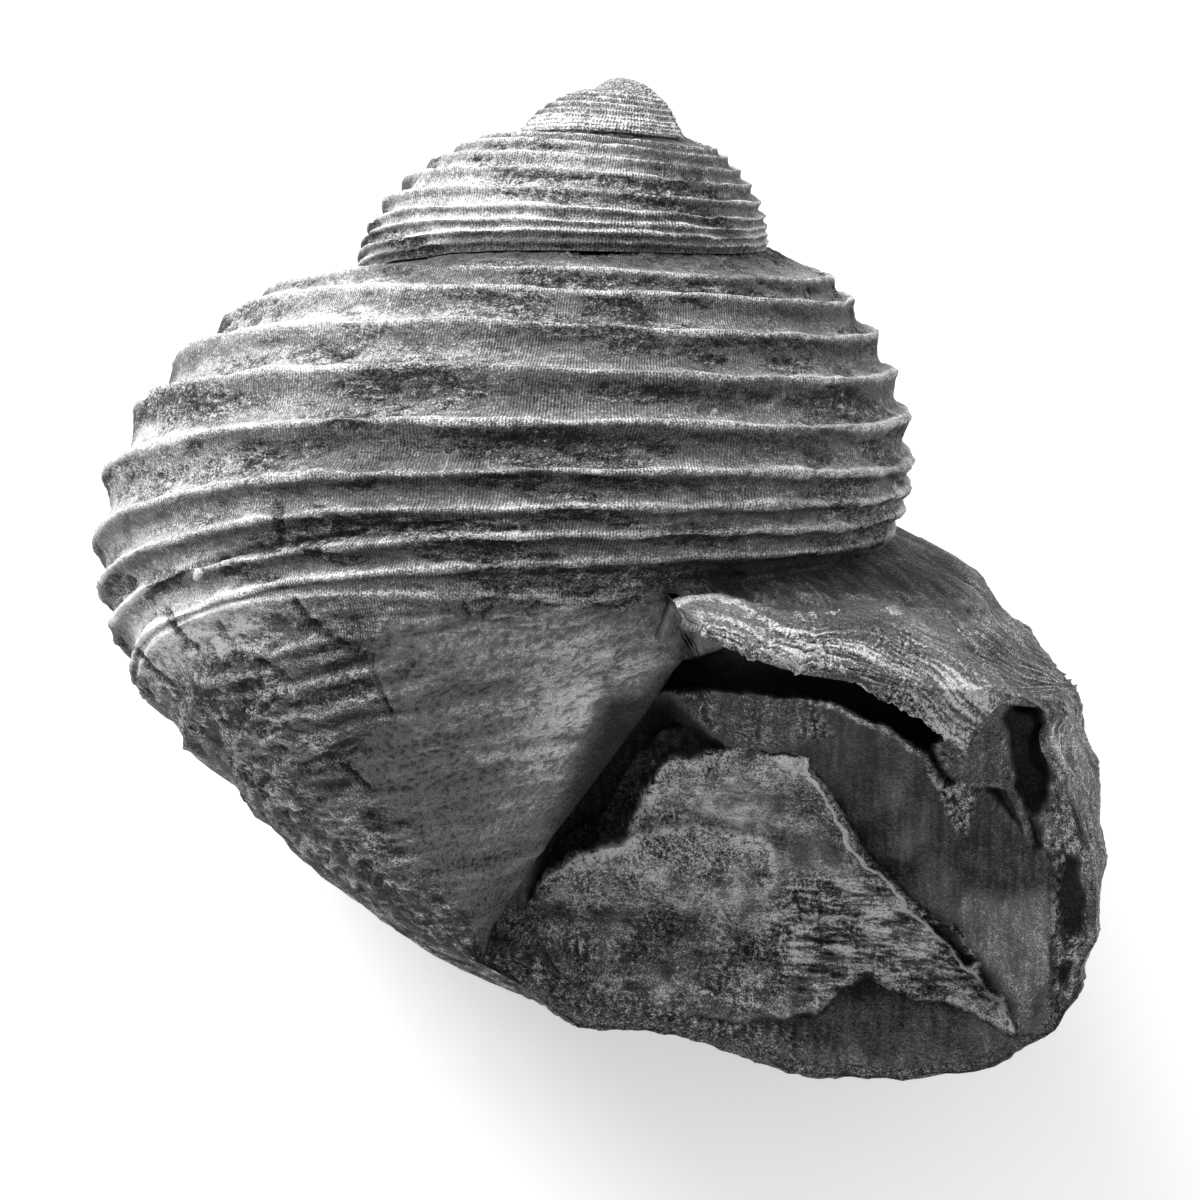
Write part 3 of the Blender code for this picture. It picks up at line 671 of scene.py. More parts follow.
def spotsOn(x, y, front):  # chips and flaked spots with their depth, round grains with their height
    px, py = wander(x, y, 3.0, 505)
    scar, scarDepth, knob, knobHigh = (0 * x for _ in range(4))
    for cx, cy, halfWide, halfHigh, depth, dark in surface["scars"]:
        inside = (1 - smooth(0.75, 1.15, np.hypot((px - cx) / halfWide, (py - cy) / halfHigh))) * front
        scar, scarDepth = np.maximum(scar, dark * inside), np.maximum(scarDepth, depth * inside)
    for cx, cy, reach, high in surface["knobs"]:
        dome = np.sqrt(np.clip(1 - ((x - cx) ** 2 + (y - cy) ** 2) / reach ** 2, 0, 1)) * front
        knob, knobHigh = np.maximum(knob, dome), np.maximum(knobHigh, high * dome)
    return scar, scarDepth, knob, knobHigh


def weather(points, own, ways, crest, radius, interval, share, fine):
    # moves each point along its normal by lumps, flaked spots, grains, cracks and the roll into the mouth,
    # and gives its fields; along and across run with the cords, so that flakes and scratches follow them
    normal = outward(points, radius)
    x, y, z = toPicture(points)
    front = smooth(-20, 60, z)
    level = np.r_[interval + share, float(lastLevel)][:points.shape[1]][None, :] + 0 * own
    part = level - np.floor(level)
    size = np.clip(radius / 4.0, 0.12, 1.0)
    along, across = alongWhorl(own), ways * 18.0
    flow = np.stack([along, across, 0 * along], -1)
    onCallus = area(*wander(x, y, 10.0, 501), surface["callus"], 26) * front * (level > 9.6)
    plain = 1 - onCallus
    lipSide = smooth(-0.06, 0.0, own)
    base = smooth(9.8, 10.6, level)
    # flaked spots, long along the cords, thick in the middle of the front and sparse at both sides
    middle, reach = surface["flakesMiddle"]
    spread = 0.25 * np.exp(-((x - middle) / reach) ** 2) * fade(surface, "flakesTop", y) - 0.05
    flakeNoise = layered(stretched(flow, 0.26), 0.8, 4, 61, 0.62) + spread
    flaked = smooth(0.10, 0.36, flakeNoise - 0.6 * crest) * plain * (1 - 0.6 * lipSide)
    scar, scarDepth, knob, knobHigh = spotsOn(x, y, front)
    crack = linesOn(*wander(x, y, 1.2, 521), surface["cracks"], 0.3) * front * (own < -0.3) * (own > -1.1)
    broken = np.clip(flaked + scar, 0, 1)
    # small relief: grains and scratches, chips, thin raised traces, and flecks on the callus
    grain = layered(points, 0.12, 3 if fine else 2, 51, 0.7)
    scratch = noise(stretched(flow, 0.16), 0.09, 53)
    chips = smooth(0.30, 0.42, layered(stretched(flow, 0.32), 0.36, 3, 57)) * plain * (1 - crest)
    flecks = smooth(0.22, 0.45, layered(stretched(flow, 0.3), 0.065, 2, 59)) * onCallus
    traces = 1 - smooth(0.02, 0.06, np.abs(noise(points, 0.9, 67)))
    traces = traces * smooth(0.25, 0.4, noise(points, 1.7, 69)) * plain * (1 - base)
    marks = {"flaked": flaked, "scar": scar, "crack": crack, "chips": chips, "flecks": flecks,
             "traces": traces}
    small = (surface["grain"] * grain * (0.35 + 1.5 * broken)
             + surface["scratch"] * scratch * (0.25 + 1.2 * broken)) * (1 - 0.5 * onCallus)
    small = (small + weighted(marks, surface["rises"])) * np.clip(size * 1.6, 0, 1)
    # streaks over the base, level across it and along its edge, and layers on the lip's side
    edgeWay = smooth(70, 20, offLine(x, y, surface["baseEdge"]))
    flat = np.stack([x * 0.13, y + surface["streakRise"] * x, 0 * x], -1) * unit
    bands = blend(layered(flat + 0.10 * noise(points, 0.9, 95)[..., None], 0.22, 3, 97, 0.6),
                  layered(stretched(flow, 0.14), 0.22, 3, 99, 0.7), edgeWay)
    bands = bands * base * (1 - 0.5 * onCallus) * (1 - lipSide)
    upward = flow * np.array([1.0, 0.10, 1.0]) + 0.06 * noise(flow, 0.9, 91)[..., None]
    layers = layered(upward, 0.15, 3, 93, 0.7) * lipSide * fade(surface, "lipLayers", x)
    high = surface["highStreaks"] * fade(surface, "streaksFoot", y)
    small = small + (high + surface["baseStreaks"]) * bands + surface["lipLayers"] * layers
    lumps = surface["lumps"] * layered(points, 1.3, 3, 41) * size * (1 + 1.2 * lipSide)
    lift = lumps + small - surface["flakeDepth"] * flaked * size - scarDepth + knobHigh
    lift = lift - surface["crackDepth"] * crack
    # the roll into the mouth sinks with the square of the way in, and has no relief of its own
    hollowIn = insideBy(x, y, surface["hollow"])
    rollIn = hollowIn + surface["rollReach"]
    rolled = np.where((level > 9.2) & (own < -0.4), front, 0.0) * np.clip(rollIn, 0, None) ** 2
    rolls = rolled > 0
    lift = lift * (1 - smooth(10, 40, rollIn) * rolls)
    points = points + lift[..., None] * normal
    points[..., 2] -= np.minimum(rolled / surface["rollRound"], 90) * unit
    # tone: painted shade under each cord and painted light above the next, painted shade in the sutures
    # and on the base, dark on flaked spots, painted light high on the left
    paintedCordShading = (level < 10) * (0.13 * smooth(0.5, 0.98, part) - 0.22 * np.exp(-((part - 0.22) / 0.17) ** 2))
    # painted shade under the overhang
    paintedUnderShade = area(x, y, surface["underhangShadeOutline"], 40) * front
    marks.update({
        "wide": layered(points, 2.4, 3, 71), "paintedUnderShade": paintedUnderShade, "bands": bands,
        "paintedLightHigh": smooth(-0.15, 1.0, ((560 - x) * 0.75 + (330 - y) * 0.65) / 330) * front,
        "paintedSutureShade": (np.exp(-((level - 9.75) / 0.5) ** 2) * (own < -0.83)
                   + 0.6 * np.exp(-(level / 0.5) ** 2) * (own > -0.1))})
    paintedLightLeft = fade(surface, "leftX", x) * fade(surface, "leftY", y) * front
    tone = surface["tone"] + weighted(marks, surface["tones"])
    # painted shade over the base, less on its left, where painted light falls
    tone = tone + (paintedCordShading - (0.12 - 0.36 * paintedLightLeft) * base) * (1 - lipSide)
    # soft spots of painted light and shade
    for cx, cy, halfWide, halfHigh, amount in surface["paintedLightShadeSpots"]:
        tone = tone + amount * np.exp(-((x - cx) / halfWide) ** 2 - ((y - cy) / halfHigh) ** 2) * front
    # painted shade in the concave band between the whorls
    dip = surface["paintedBandShade"]
    bend = y - dip["y"] - dip["sag"] * ((x - dip["x"]) / dip["reach"]) ** 2
    paintedBandShade = np.exp(-(bend / dip["half"]) ** 4) * front
    paintedBandShade = paintedBandShade * fade(surface, "bandLeft", x) * fade(surface, "bandRight", x)
    tone = blend(tone, dip["tone"], 0.8 * paintedBandShade)
    # the callus gets painted light beside the mouth
    cx, cy, halfWide, halfHigh = surface["paintedLightSpot"]
    paintedCallusLight = np.exp(-((hollowIn + 30) / 38) ** 2) * fade(surface, "paintedLightTop", y) * fade(surface, "paintedLightFoot", y)
    paintedCallusLight = paintedCallusLight + 0.5 * np.exp(-((x - cx) / halfWide) ** 2 - ((y - cy) / halfHigh) ** 2)
    marks.update({"paintedCallusLight": paintedCallusLight, "far": smooth(60, 260, y - x - 140),
                  "soft": noise(stretched(flow, 0.3), 0.5, 73),
                  "corner": fade(surface, "cornerX", x) * fade(surface, "cornerY", y)})
    tone = blend(tone, surface["callusTone"] + weighted(marks, surface["callusTones"]), onCallus)
    # painted shade: black where the surface rolls into the mouth
    tone = blend(tone, 0.0, smooth(4, 34, rollIn) * rolls)
    low = fade(surface, "lowY", y) * fade(surface, "lowX", x) * front
    tone = blend(tone + 0.25 * knob, 0.30, low)
    # painted highlights on what stands out: fine grains, crests, traces, streaks and layers, dimmed in the
    # painted shade
    spark = small / surface["grain"]
    edge = np.clip((spark - blurred(spark, 2)) * 0.20, -0.6, 0.8) * (0.3 + 0.9 * broken)
    edge = edge + 1.4 * np.clip(crest, 0, 1) ** 2 * (0.75 + 0.5 * noise(points, 0.10, 75)) * plain
    edge = edge + 0.5 * traces + 0.4 * knob + 0.35 * np.clip(bands, -0.5, 1)
    edge = edge * (1 - 0.75 * paintedUnderShade) * (1 - 0.85 * paintedBandShade) * (1 - 0.7 * onCallus)
    edge = edge * (1 - smooth(0, 30, rollIn) * rolls)
    edge = edge * (1 - 0.85 * low) + 0.7 * np.clip(layers, -0.6, 1) * (1 - low)
    rough = np.clip(0.34 + 0.55 * broken + 0.3 * lipSide + 0.25 * noise(points, 0.7, 81) + 0.25 * base, 0, 1)
    dash = (0.28 + 0.5 * broken + 0.35 * base) * plain
    dash = dash + 0.36 * onCallus * smooth(-0.25, 0.45, noise(points, 0.8, 89))
    dash = dash * (1 - lipSide) * (1 - 0.8 * crest) * (0.8 + 0.6 * noise(points, 0.8, 87))
    return points, {
        "tone": tone, "edge": edge, "rough": rough * (1 - 0.8 * onCallus),
        "dash": dash * (1 - 0.5 * smooth(0, 30, rollIn) * rolls),
        "thread": (along / surface["threadStep"] + surface["threadSlant"] * across
                   + 0.5 * noise(points, 0.6, 83)),
        "threadStrength": ((1 - broken) * plain * smooth(0.0, 0.5, level)
                           * (0.7 + 0.6 * noise(points, 0.5, 85)))}


def drawOut(points):
    # lower lip drawn out downwards in the picture, and other places drawn in, fading to the sides
    x, y, z = toPicture(points)
    reach, middle, breadth = surface["lowerLip"]
    points[..., 1] -= reach * np.exp(-((x - middle) / breadth) ** 4) * fade(surface, "lipDrop", y) * unit
    for line, reach, (right, down) in surface["drawnIn"]:
        share = np.exp(-(offLine(x, y, line) / reach) ** 2)
        points[..., 0] += share * right * unit
        points[..., 1] -= share * down * unit
    return points


def flatten(points, faces, fields):  # a piece with the worn flat under the shell
    points[..., 2] = np.maximum(points[..., 2], restLevel)
    return points, faces, fields


# Finer sheets laid close over the whorl, where it faces up beside the mouth.
skins = {
    "whorlFront": {"turns": (-1.03, -0.45), "steps": 520, "levels": (0, 10), "rows": 17, "doubled": False},
    "baseFront": {"turns": (-0.845, -0.44), "steps": 330, "levels": (9, 23), "rows": 11, "doubled": False},
    "lipSide": {"turns": (-0.02, 0.1895), "steps": 225, "levels": (1, 23), "rows": 7, "doubled": True},
}
# lift, dive and thickness are in millimetres, the border in rows, the cap a share of the way to the axis
skinLift, skinDive, skinBorder, skinThick, skinCap = 0.030, 0.10, 5, 0.16, 0.12


def buildSkin(skin):
    # the same whorl in finer steps, lifted a little and sunk at its borders, closed towards the axis
    first, final = skin["levels"]
    even = np.arange((final - first) * skin["rows"]) / skin["rows"]
    interval = first + np.floor(even + 1e-9).astype(int)
    share = first + even - interval
    share = share - 0.45 * np.sin(2 * np.pi * share) / (2 * np.pi)
    turns = np.linspace(*skin["turns"], skin["steps"])
    points, own, ways, crest, radius = whorl(turns, interval, share, False)
    normal = outward(points, radius)
    points, fields = weather(points, own, ways, crest, radius, interval, share, True)
    steps, rows = (np.arange(count) for count in points.shape[:2])
    inSteps = steps if skin["doubled"] else np.minimum(steps, steps[::-1])
    inside = smooth(0, skinBorder, np.minimum(inSteps[:, None], np.minimum(rows, rows[::-1])[None, :]))
    points = drawOut(points + blend(-skinDive, skinLift, inside)[..., None] * normal)
    faces = quadFaces(np.arange(inside.size).reshape(inside.shape))
    flat, normal = points.reshape(-1, 3), normal.reshape(-1, 3)
    a, b, c = (flat[faces[::53, k]] for k in (0, 1, 2))
    if (np.cross(b - a, c - a) * normal[faces[::53, 0]]).sum(-1).mean() < 0:
        faces = faces[:, ::-1]
    faces = faces.tolist()
    fields = {key: value.reshape(-1) for key, value in fields.items()}
    loop = boundaryLoops(faces)[0]
    if skin["doubled"]:  # a second sheet under the first, joined to it by a wall
        count = len(flat)
        wall = [[a + count, b + count, b, a] for a, b in zip(loop, loop[-1:] + loop[:-1])]
        faces = faces + [[k + count for k in face[::-1]] for face in faces] + wall
        fields = {key: np.r_[value, value] for key, value in fields.items()}
        return np.vstack([flat, flat - skinThick * normal]), faces, fields
    _, _, up = axisFrame()
    foot, middle = np.array(coil["axisFoot"]), flat.mean(0)
    axisPoint = foot + ((middle - foot) @ up) * up
    return capLoop(flat, faces, fields, loop, blend(middle, axisPoint, skinCap), 2, np.zeros(3))


def buildSpire():
    # the whorls above the seam, each joined to the next along its suture, with a worn tip and a closed foot
    interval, share = rowTable(mesh["spireRows"], 1)
    keep = interval < sutureLevel
    interval, share = np.r_[interval[keep], sutureLevel], np.r_[share[keep], 0.0]
    perTurn = mesh["spireSteps"]
    turns = turnTable(perTurn, coil["firstTurn"], coil["seamTurn"])
    points, own, ways, crest, radius = whorl(turns, interval, share, False)
    points, fields = weather(points, own, ways, crest, radius, interval, share, True)
    numbers = np.arange(own.size).reshape(own.shape)
    numbers[:-perTurn, -1] = numbers[perTurn:, 0]
    flat, faces, fields, _ = keepUsed(points, quadFaces(numbers), fields)
    loops = sorted(boundaryLoops(faces), key=lambda loop: flat[loop].mean(0)[1])
    right, _, up = axisFrame()
    foot = np.array(coil["axisFoot"])
    # worn tip: rings drawn together over the first sections into a low dome
    tip = foot - 0.19 * right + 0.06 * up
    before = len(flat)
    flat, faces, fields = capLoop(flat, faces, fields, loops[-1], tip, 10, 0.10 * up)
    fields["tone"][before:], fields["rough"][before:] = 0.62, 0.8
    return capLoop(flat, faces, fields, loops[0], foot - 2.6 * up, 2, 0 * up)


def buildBody():
    # the last whorl from the seam to the lip, joined to itself along its suture and closed at the pole and
    # the seam; the fourth thing that it gives is the rim of the open mouth
    interval, share = rowTable(mesh["upperRows"], mesh["baseRows"])
    perTurn = mesh["bodySteps"]
    turns = turnTable(perTurn, coil["seamTurn"], coil["lipTurn"])
    points, own, ways, crest, radius = whorl(turns, interval, share, True)
    points, fields = weather(points, own, ways, crest, radius, interval, share, False)
    points[:, -1] = place(np.zeros(1), np.zeros(1), np.array([coil["poleDepth"]]))
    points = drawOut(points)
    seam = sutureLevel * mesh["upperRows"]
    last = len(turns) - 1 - perTurn
    numbers = np.arange(own.size).reshape(own.shape)
    numbers[:, -1] = numbers[last, -1]
    numbers[:-perTurn, seam] = numbers[perTurn:, 0]
    faces = np.vstack([quadFaces(numbers[:last + 1, :seam + 1]), quadFaces(numbers[last:])])
    flat, faces, fields, used = keepUsed(points, faces, fields)
    loops = boundaryLoops(faces)
    lipCorner = int(np.searchsorted(used, numbers[-1, 0]))
    rim = next(loop for loop in loops if lipCorner in loop)
    top = next(loop for loop in loops if loop is not rim)
    _, _, up = axisFrame()
    flat, faces, fields = capLoop(flat, faces, fields, top, np.array(coil["axisFoot"]) - 3.4 * up, 2, 0 * up)
    return flat, faces, fields, rim


# The mouth. Outlines and lines are in picture units, x to the right and y down.
mouth = {
    "centre": (760.0, 870.0), "grid": (480, 145), "outer": 0.996, "inner": 0.22, "wander": 2.4,
    "thick": 6, "keptRows": 12,
    # how far each mark stands out, how much painted highlight it gets and how rough it makes the stone
    "rises": {"crumbs": 4, "patch": 5, "patchGrains": 5, "stub": 5, "crack": -8, "wallEdge": 3,
              "outerEdge": 3},
    "lights": {"crumbs": 1.7, "patch": 0.84, "patchGrains": 1.2, "wallEdge": 1.1, "outerEdge": 0.9},
    "roughs": {"plate": 0.35, "lowerLeft": 0.7, "crumbs": 0.9, "patch": 0.9, "outside": 0.7, "stub": 0.4,
               "block": 0.65, "rock": 0.55, "foot": 0.1},
    # named fades, each from its first place to its second
    "fades": {"outerWall": (1030, 1050), "outside": (1042, 1056), "rockX": (860, 720),
              "rockY": (985, 1000), "columellaX": (700, 640), "columellaY": (960, 900),
              "columellaIn": (60, 20), "foot": (980, 1000), "lowerLeftX": (600, 560),
              "lowerLeftY": (880, 930), "cornerX": (745, 725), "cornerY": (690, 670),
              "cornerShade": (615, 655), "rightWall": (900, 1000), "lowWall": (930, 1000)},
    # the wall behind the lining: its depth, and how deep it starts and falls near the right and lower side
    "deep": 240.0, "rightDepth": (44, 700), "lowDepth": (22, 560),
    "gap": [(639, 687), (650, 676), (662, 668), (690, 656), (735, 640), (800, 650), (900, 690), (938, 722),
            (936, 736), (930, 745), (920, 747), (908, 741), (889, 727), (859, 714), (832, 700), (814, 696),
            (782, 693), (726, 688), (673, 688)],
    "hollow": [(606, 706), (640, 691), (672, 700), (706, 744), (790, 765), (812, 800), (846, 846),
               (880, 886), (925, 930), (985, 980), (1004, 1012), (940, 1006), (880, 1000), (800, 1005),
               (700, 1005), (600, 995), (560, 970), (538, 905), (545, 850), (560, 800), (582, 750)],
    "bowl": [(735, 742), (760, 705), (800, 696), (832, 700), (859, 713), (889, 726), (923, 751),
             (941, 780), (985, 783), (1017, 823), (1036, 846), (1050, 870), (1057, 903), (1050, 948),
             (1050, 975), (1020, 1040), (960, 990), (850, 880), (780, 760)],
    "bowlRim": [(760, 690), (800, 694), (832, 700), (859, 713), (889, 726), (923, 751), (941, 780),
                (985, 783), (1017, 823), (1036, 846), (1050, 870), (1057, 903), (1050, 948), (1050, 975),
                (1020, 1040)],
    "block": [(668, 690), (690, 712), (706, 730), (724, 744), (775, 748), (830, 735), (815, 698),
              (760, 690), (700, 688)],
    "plate": [(926, 742), (940, 735), (961, 740), (972, 724), (990, 706), (1006, 745), (1014, 775),
              (1030, 812), (1034, 842), (1024, 836), (1006, 792), (985, 785), (954, 784), (938, 766)],
    "lipBreak": [(1001, 716), (1010, 700), (1026, 699), (1037, 712), (1041, 730), (1045, 773), (1043, 797),
                 (1035, 812), (1026, 806), (1015, 772), (1006, 742)],
    "wallBreak": [(1064, 852), (1074, 858), (1080, 880), (1083, 902), (1080, 920), (1074, 935),
                  (1062, 931), (1058, 892)],
    "lowBreak": [(1057, 962), (1069, 963), (1068, 983), (1058, 981)],
    "innerSide": [(664, 600), (652, 640), (690, 640), (660, 690), (640, 710), (612, 770), (585, 820),
                  (570, 850), (562, 890), (545, 950), (500, 960), (470, 950), (505, 880), (545, 800),
                  (600, 706), (630, 650)],
    "shelf": [(1016, 1012), (985, 992), (956, 980), (915, 972), (885, 955), (850, 960), (820, 985),
              (759, 990), (700, 988), (620, 980), (575, 972), (535, 958), (480, 945), (460, 1010),
              (560, 1060), (800, 1110), (1060, 1080)],
    "crumblyRim": [(812, 700), (832, 705), (858, 718), (880, 728), (893, 733), (908, 746), (922, 757),
                   (936, 780)],
    "crumblyPatch": [(920, 752), (940, 770), (962, 784), (976, 790), (972, 808), (963, 838), (950, 822),
                     (938, 798)],
    "thinCrack": [(1015, 780), (1031, 826), (1046, 856), (1055, 878), (1059, 903), (1057, 927),
                  (1051, 948), (1053, 983)],
    "wallEdge": [(960, 784), (985, 782), (999, 787), (1010, 806), (1019, 825), (1029, 842)],
    "stub": [(1034, 814), (1046, 806), (1066, 806), (1074, 814), (1075, 850), (1056, 858), (1040, 848)],
    "lowStub": [(1053, 934), (1074, 936), (1073, 961), (1054, 958)],
    "outerEdge": [(1042, 708), (1048, 722), (1051, 745), (1057, 775), (1066, 800), (1078, 850),
                  (1087, 899), (1080, 940), (1074, 976), (1066, 1000)],
    # soft areas of tone: outline, width of the border and tone
    "tones": [
        ([(735, 742), (770, 700), (832, 700), (889, 726), (941, 780), (985, 783), (1036, 846), (1050, 885),
          (985, 900), (930, 890), (850, 880), (780, 760)], 30, 0.07),
        ([(905, 880), (935, 850), (955, 880), (940, 910)], 24, 0.34),
        ([(930, 905), (1048, 890), (1060, 910), (1052, 975), (1018, 1040), (985, 985)], 34, 0.50),
        ([(876, 778), (900, 782), (908, 800), (892, 812), (876, 800)], 26, 0.27),
        ([(893, 836), (920, 818), (925, 834), (902, 858), (890, 856)], 22, 0.27),
        ([(640, 692), (668, 692), (706, 740), (660, 740), (630, 720)], 26, 0.12),
        ([(664, 687), (800, 692), (812, 730), (770, 750), (724, 748)], 14, 0.25),
        ([(720, 741), (800, 735), (815, 770), (770, 760)], 14, 0.04),
        ([(520, 960), (800, 1000), (900, 985), (1020, 1034), (1010, 1090), (700, 1080), (480, 1010)],
         30, 0.38),
        ([(880, 1000), (940, 1008), (1000, 1036), (960, 1060), (860, 1070), (800, 1040)], 50, 0.20),
        ([(1045, 690), (1110, 690), (1110, 1010), (1050, 1010), (1078, 900), (1060, 800)], 14, 0.38),
        ([(934, 742), (972, 727), (990, 708), (1006, 745), (1030, 812), (1030, 840), (1000, 790),
          (945, 780)], 10, 0.27),
        ([(1034, 814), (1070, 806), (1075, 850), (1040, 850)], 8, 0.50),
    ],
}
filling = {
    "grid": (280, 215), "wander": 4.0, "floor": 165.0, "top": 80.0, "thick": 12, "keptRows": 14,
    "rises": {"seam": 3, "lowEdge": 3, "branch": 2, "crack": -9, "flake": 6},
    # painted highlight that each mark gets
    "lights": {"crest": 4.6, "branch": 0.6, "seam": 1.3, "lowEdge": 1.2, "ledge": 1.3, "plugEdge": 0.9,
               "plugGrains": 1.5, "flake": 1.1, "streaks": 0.65, "endGrains": 0.5},
    "roughs": {"crest": 0.4, "ledge": 0.3, "endGrit": 0.4, "calm": -0.35},
    "fades": {"ledgeFoot": (935, 880), "lowY": (940, 1015), "lowX": (900, 820), "tipY": (972, 1000),
              "tipX": (955, 985), "ledgeLight": (900, 870), "plugLightY": (900, 860),
              "plugLightX": (780, 720), "bandsX": (750, 800), "bandsTop": (872, 892),
              "bandsFoot": (1005, 985), "rubbleX": (680, 650), "rubbleY": (730, 760)},
    "pocket": [(690, 722), (760, 726), (815, 742), (842, 784), (872, 824), (906, 864), (946, 900),
               (988, 935), (1015, 975), (1025, 1033), (990, 1040), (950, 1030), (905, 1022), (870, 1010),
               (820, 1030), (759, 1034), (700, 1030), (640, 1024), (560, 1008), (516, 955), (514, 900),
               (530, 860), (575, 830), (606, 812), (618, 785), (638, 752), (662, 730)],
    "corners": [(662, 730), (815, 742), (1025, 1033), (516, 955)],
    "plug": [(630, 840), (636, 810), (648, 790), (654, 772), (670, 757), (690, 755), (719, 748),
             (751, 742), (775, 752), (806, 754), (812, 772), (828, 786), (838, 804), (853, 830),
             (866, 850), (879, 868), (905, 892), (940, 916), (962, 930), (982, 952), (996, 982),
             (1008, 1005), (1020, 1038), (985, 1022), (956, 1008), (915, 1002), (895, 987), (868, 976),
             (840, 990), (812, 1012), (759, 1022), (700, 1020), (640, 1015), (560, 1000), (524, 950),
             (526, 905), (545, 872), (568, 857), (600, 846)],
    "ledge": [(526, 905), (545, 876), (562, 864), (600, 846), (628, 840), (640, 832), (665, 826),
              (696, 817), (712, 826), (750, 832), (772, 842), (778, 850), (779, 880), (768, 895),
              (740, 960), (600, 980), (540, 960)],
    "calm": [(690, 770), (770, 770), (800, 790), (860, 875), (790, 880), (770, 845), (700, 815)],
    "dent": [(600, 925), (650, 905), (700, 915), (700, 945), (650, 955), (605, 950)],
    "flake": [(772, 754), (806, 755), (802, 768), (795, 777)],
    "upperPit": [(932, 921), (944, 924), (958, 938), (974, 958), (966, 964), (946, 944)],
    "lowerPit": [(980, 966), (993, 975), (1000, 992), (991, 996), (981, 982)],
    "crest": [(801, 758), (802, 770), (808, 778), (818, 788), (826, 803), (834, 815), (843, 832),
              (848, 843), (858, 853), (867, 866), (880, 876), (892, 890), (904, 900), (915, 914),
              (928, 924), (950, 950), (975, 975), (998, 1002), (1012, 1030)],
    "branch": [(826, 803), (842, 802), (862, 807)],
    "smallCrack": [(794, 893), (796, 903), (800, 920)],
    "lowSeam": [(675, 980), (697, 991), (722, 998), (736, 1003), (770, 1012), (790, 1020)],
    "lowEdge": [(868, 969), (895, 982), (915, 997), (956, 1004), (985, 1018), (1014, 1036)],
    "endGrit": [(948, 922), (978, 946), (996, 980), (1008, 1004), (1020, 1038), (998, 1026), (990, 1000),
                (964, 962)],
    "tones": [
        ([(640, 806), (656, 775), (690, 755), (800, 756), (892, 890), (780, 880), (750, 832), (650, 832)],
         16, 0.62),
        ([(770, 800), (800, 770), (880, 880), (820, 870), (775, 850)], 30, 0.40),
        ([(528, 905), (600, 848), (700, 818), (750, 830), (778, 850), (778, 885), (700, 900), (600, 905)],
         14, 0.60),
        ([(560, 870), (600, 842), (665, 830), (655, 870), (600, 888)], 16, 0.70),
        ([(600, 905), (700, 885), (780, 884), (892, 886), (1000, 990), (1000, 1020), (900, 985), (800, 960),
          (740, 930)], 20, 0.60),
        ([(530, 915), (650, 925), (740, 920), (800, 965), (860, 975), (800, 1030), (540, 1010)], 34, 0.46),
        ([(600, 925), (650, 912), (690, 918), (690, 945), (620, 952)], 30, 0.36),
    ],
}
outerLip = {
    "grid": (280, 110), "lift": 11.0, "thick": 7.0, "keptRows": 11, "ceiling": 511.0,
    # part of the whorl that the layer's height is fitted to, and the middle and reach of the fit
    "nearX": (690, 1050), "nearY": (596, 700), "fitMiddle": (860, 650), "fitReach": (180, 60),
    "upper": [(671, 600), (684, 594), (719, 592), (750, 603), (790, 606), (840, 600), (890, 600),
              (940, 620), (990, 650), (1030, 690), (1046, 716)],
    "lower": [(671, 600), (682, 618), (700, 634), (735, 648), (746, 658), (766, 661), (787, 668),
              (793, 674), (805, 669), (839, 676), (856, 685), (878, 699), (901, 710), (920, 721),
              (934, 733), (953, 745), (961, 750)],
    "tip": [(961, 750), (972, 727), (990, 709), (1000, 700), (1019, 696), (1036, 706), (1046, 716)],
    # the whorl's own edge below the layer, and how steeply the layer sinks beyond it
    "rimLine": [(681, 612), (704, 632), (737, 645), (777, 662), (816, 668), (870, 683), (939, 692),
                (995, 694), (1046, 712)],
    "droop": 0.3,
    # edges of thin flakes that stand up from the layer, each a line and its width
    "flakes": [
        ([(676, 602), (690, 598), (719, 598), (737, 603), (752, 613), (768, 620), (779, 630), (796, 641),
          (820, 652)], 5.5),
        ([(683, 622), (696, 612), (718, 615), (740, 625), (756, 634), (768, 646)], 4.0),
        ([(690, 630), (721, 640), (740, 650)], 3.5), ([(700, 622), (722, 627), (742, 636)], 2.5),
        ([(755, 632), (770, 645), (790, 655), (800, 668)], 4.0),
    ],
    # painted shade under the suture's overhang, over the layer
    "dark": [(760, 600), (860, 604), (900, 622), (860, 634), (800, 626), (770, 612)],
}


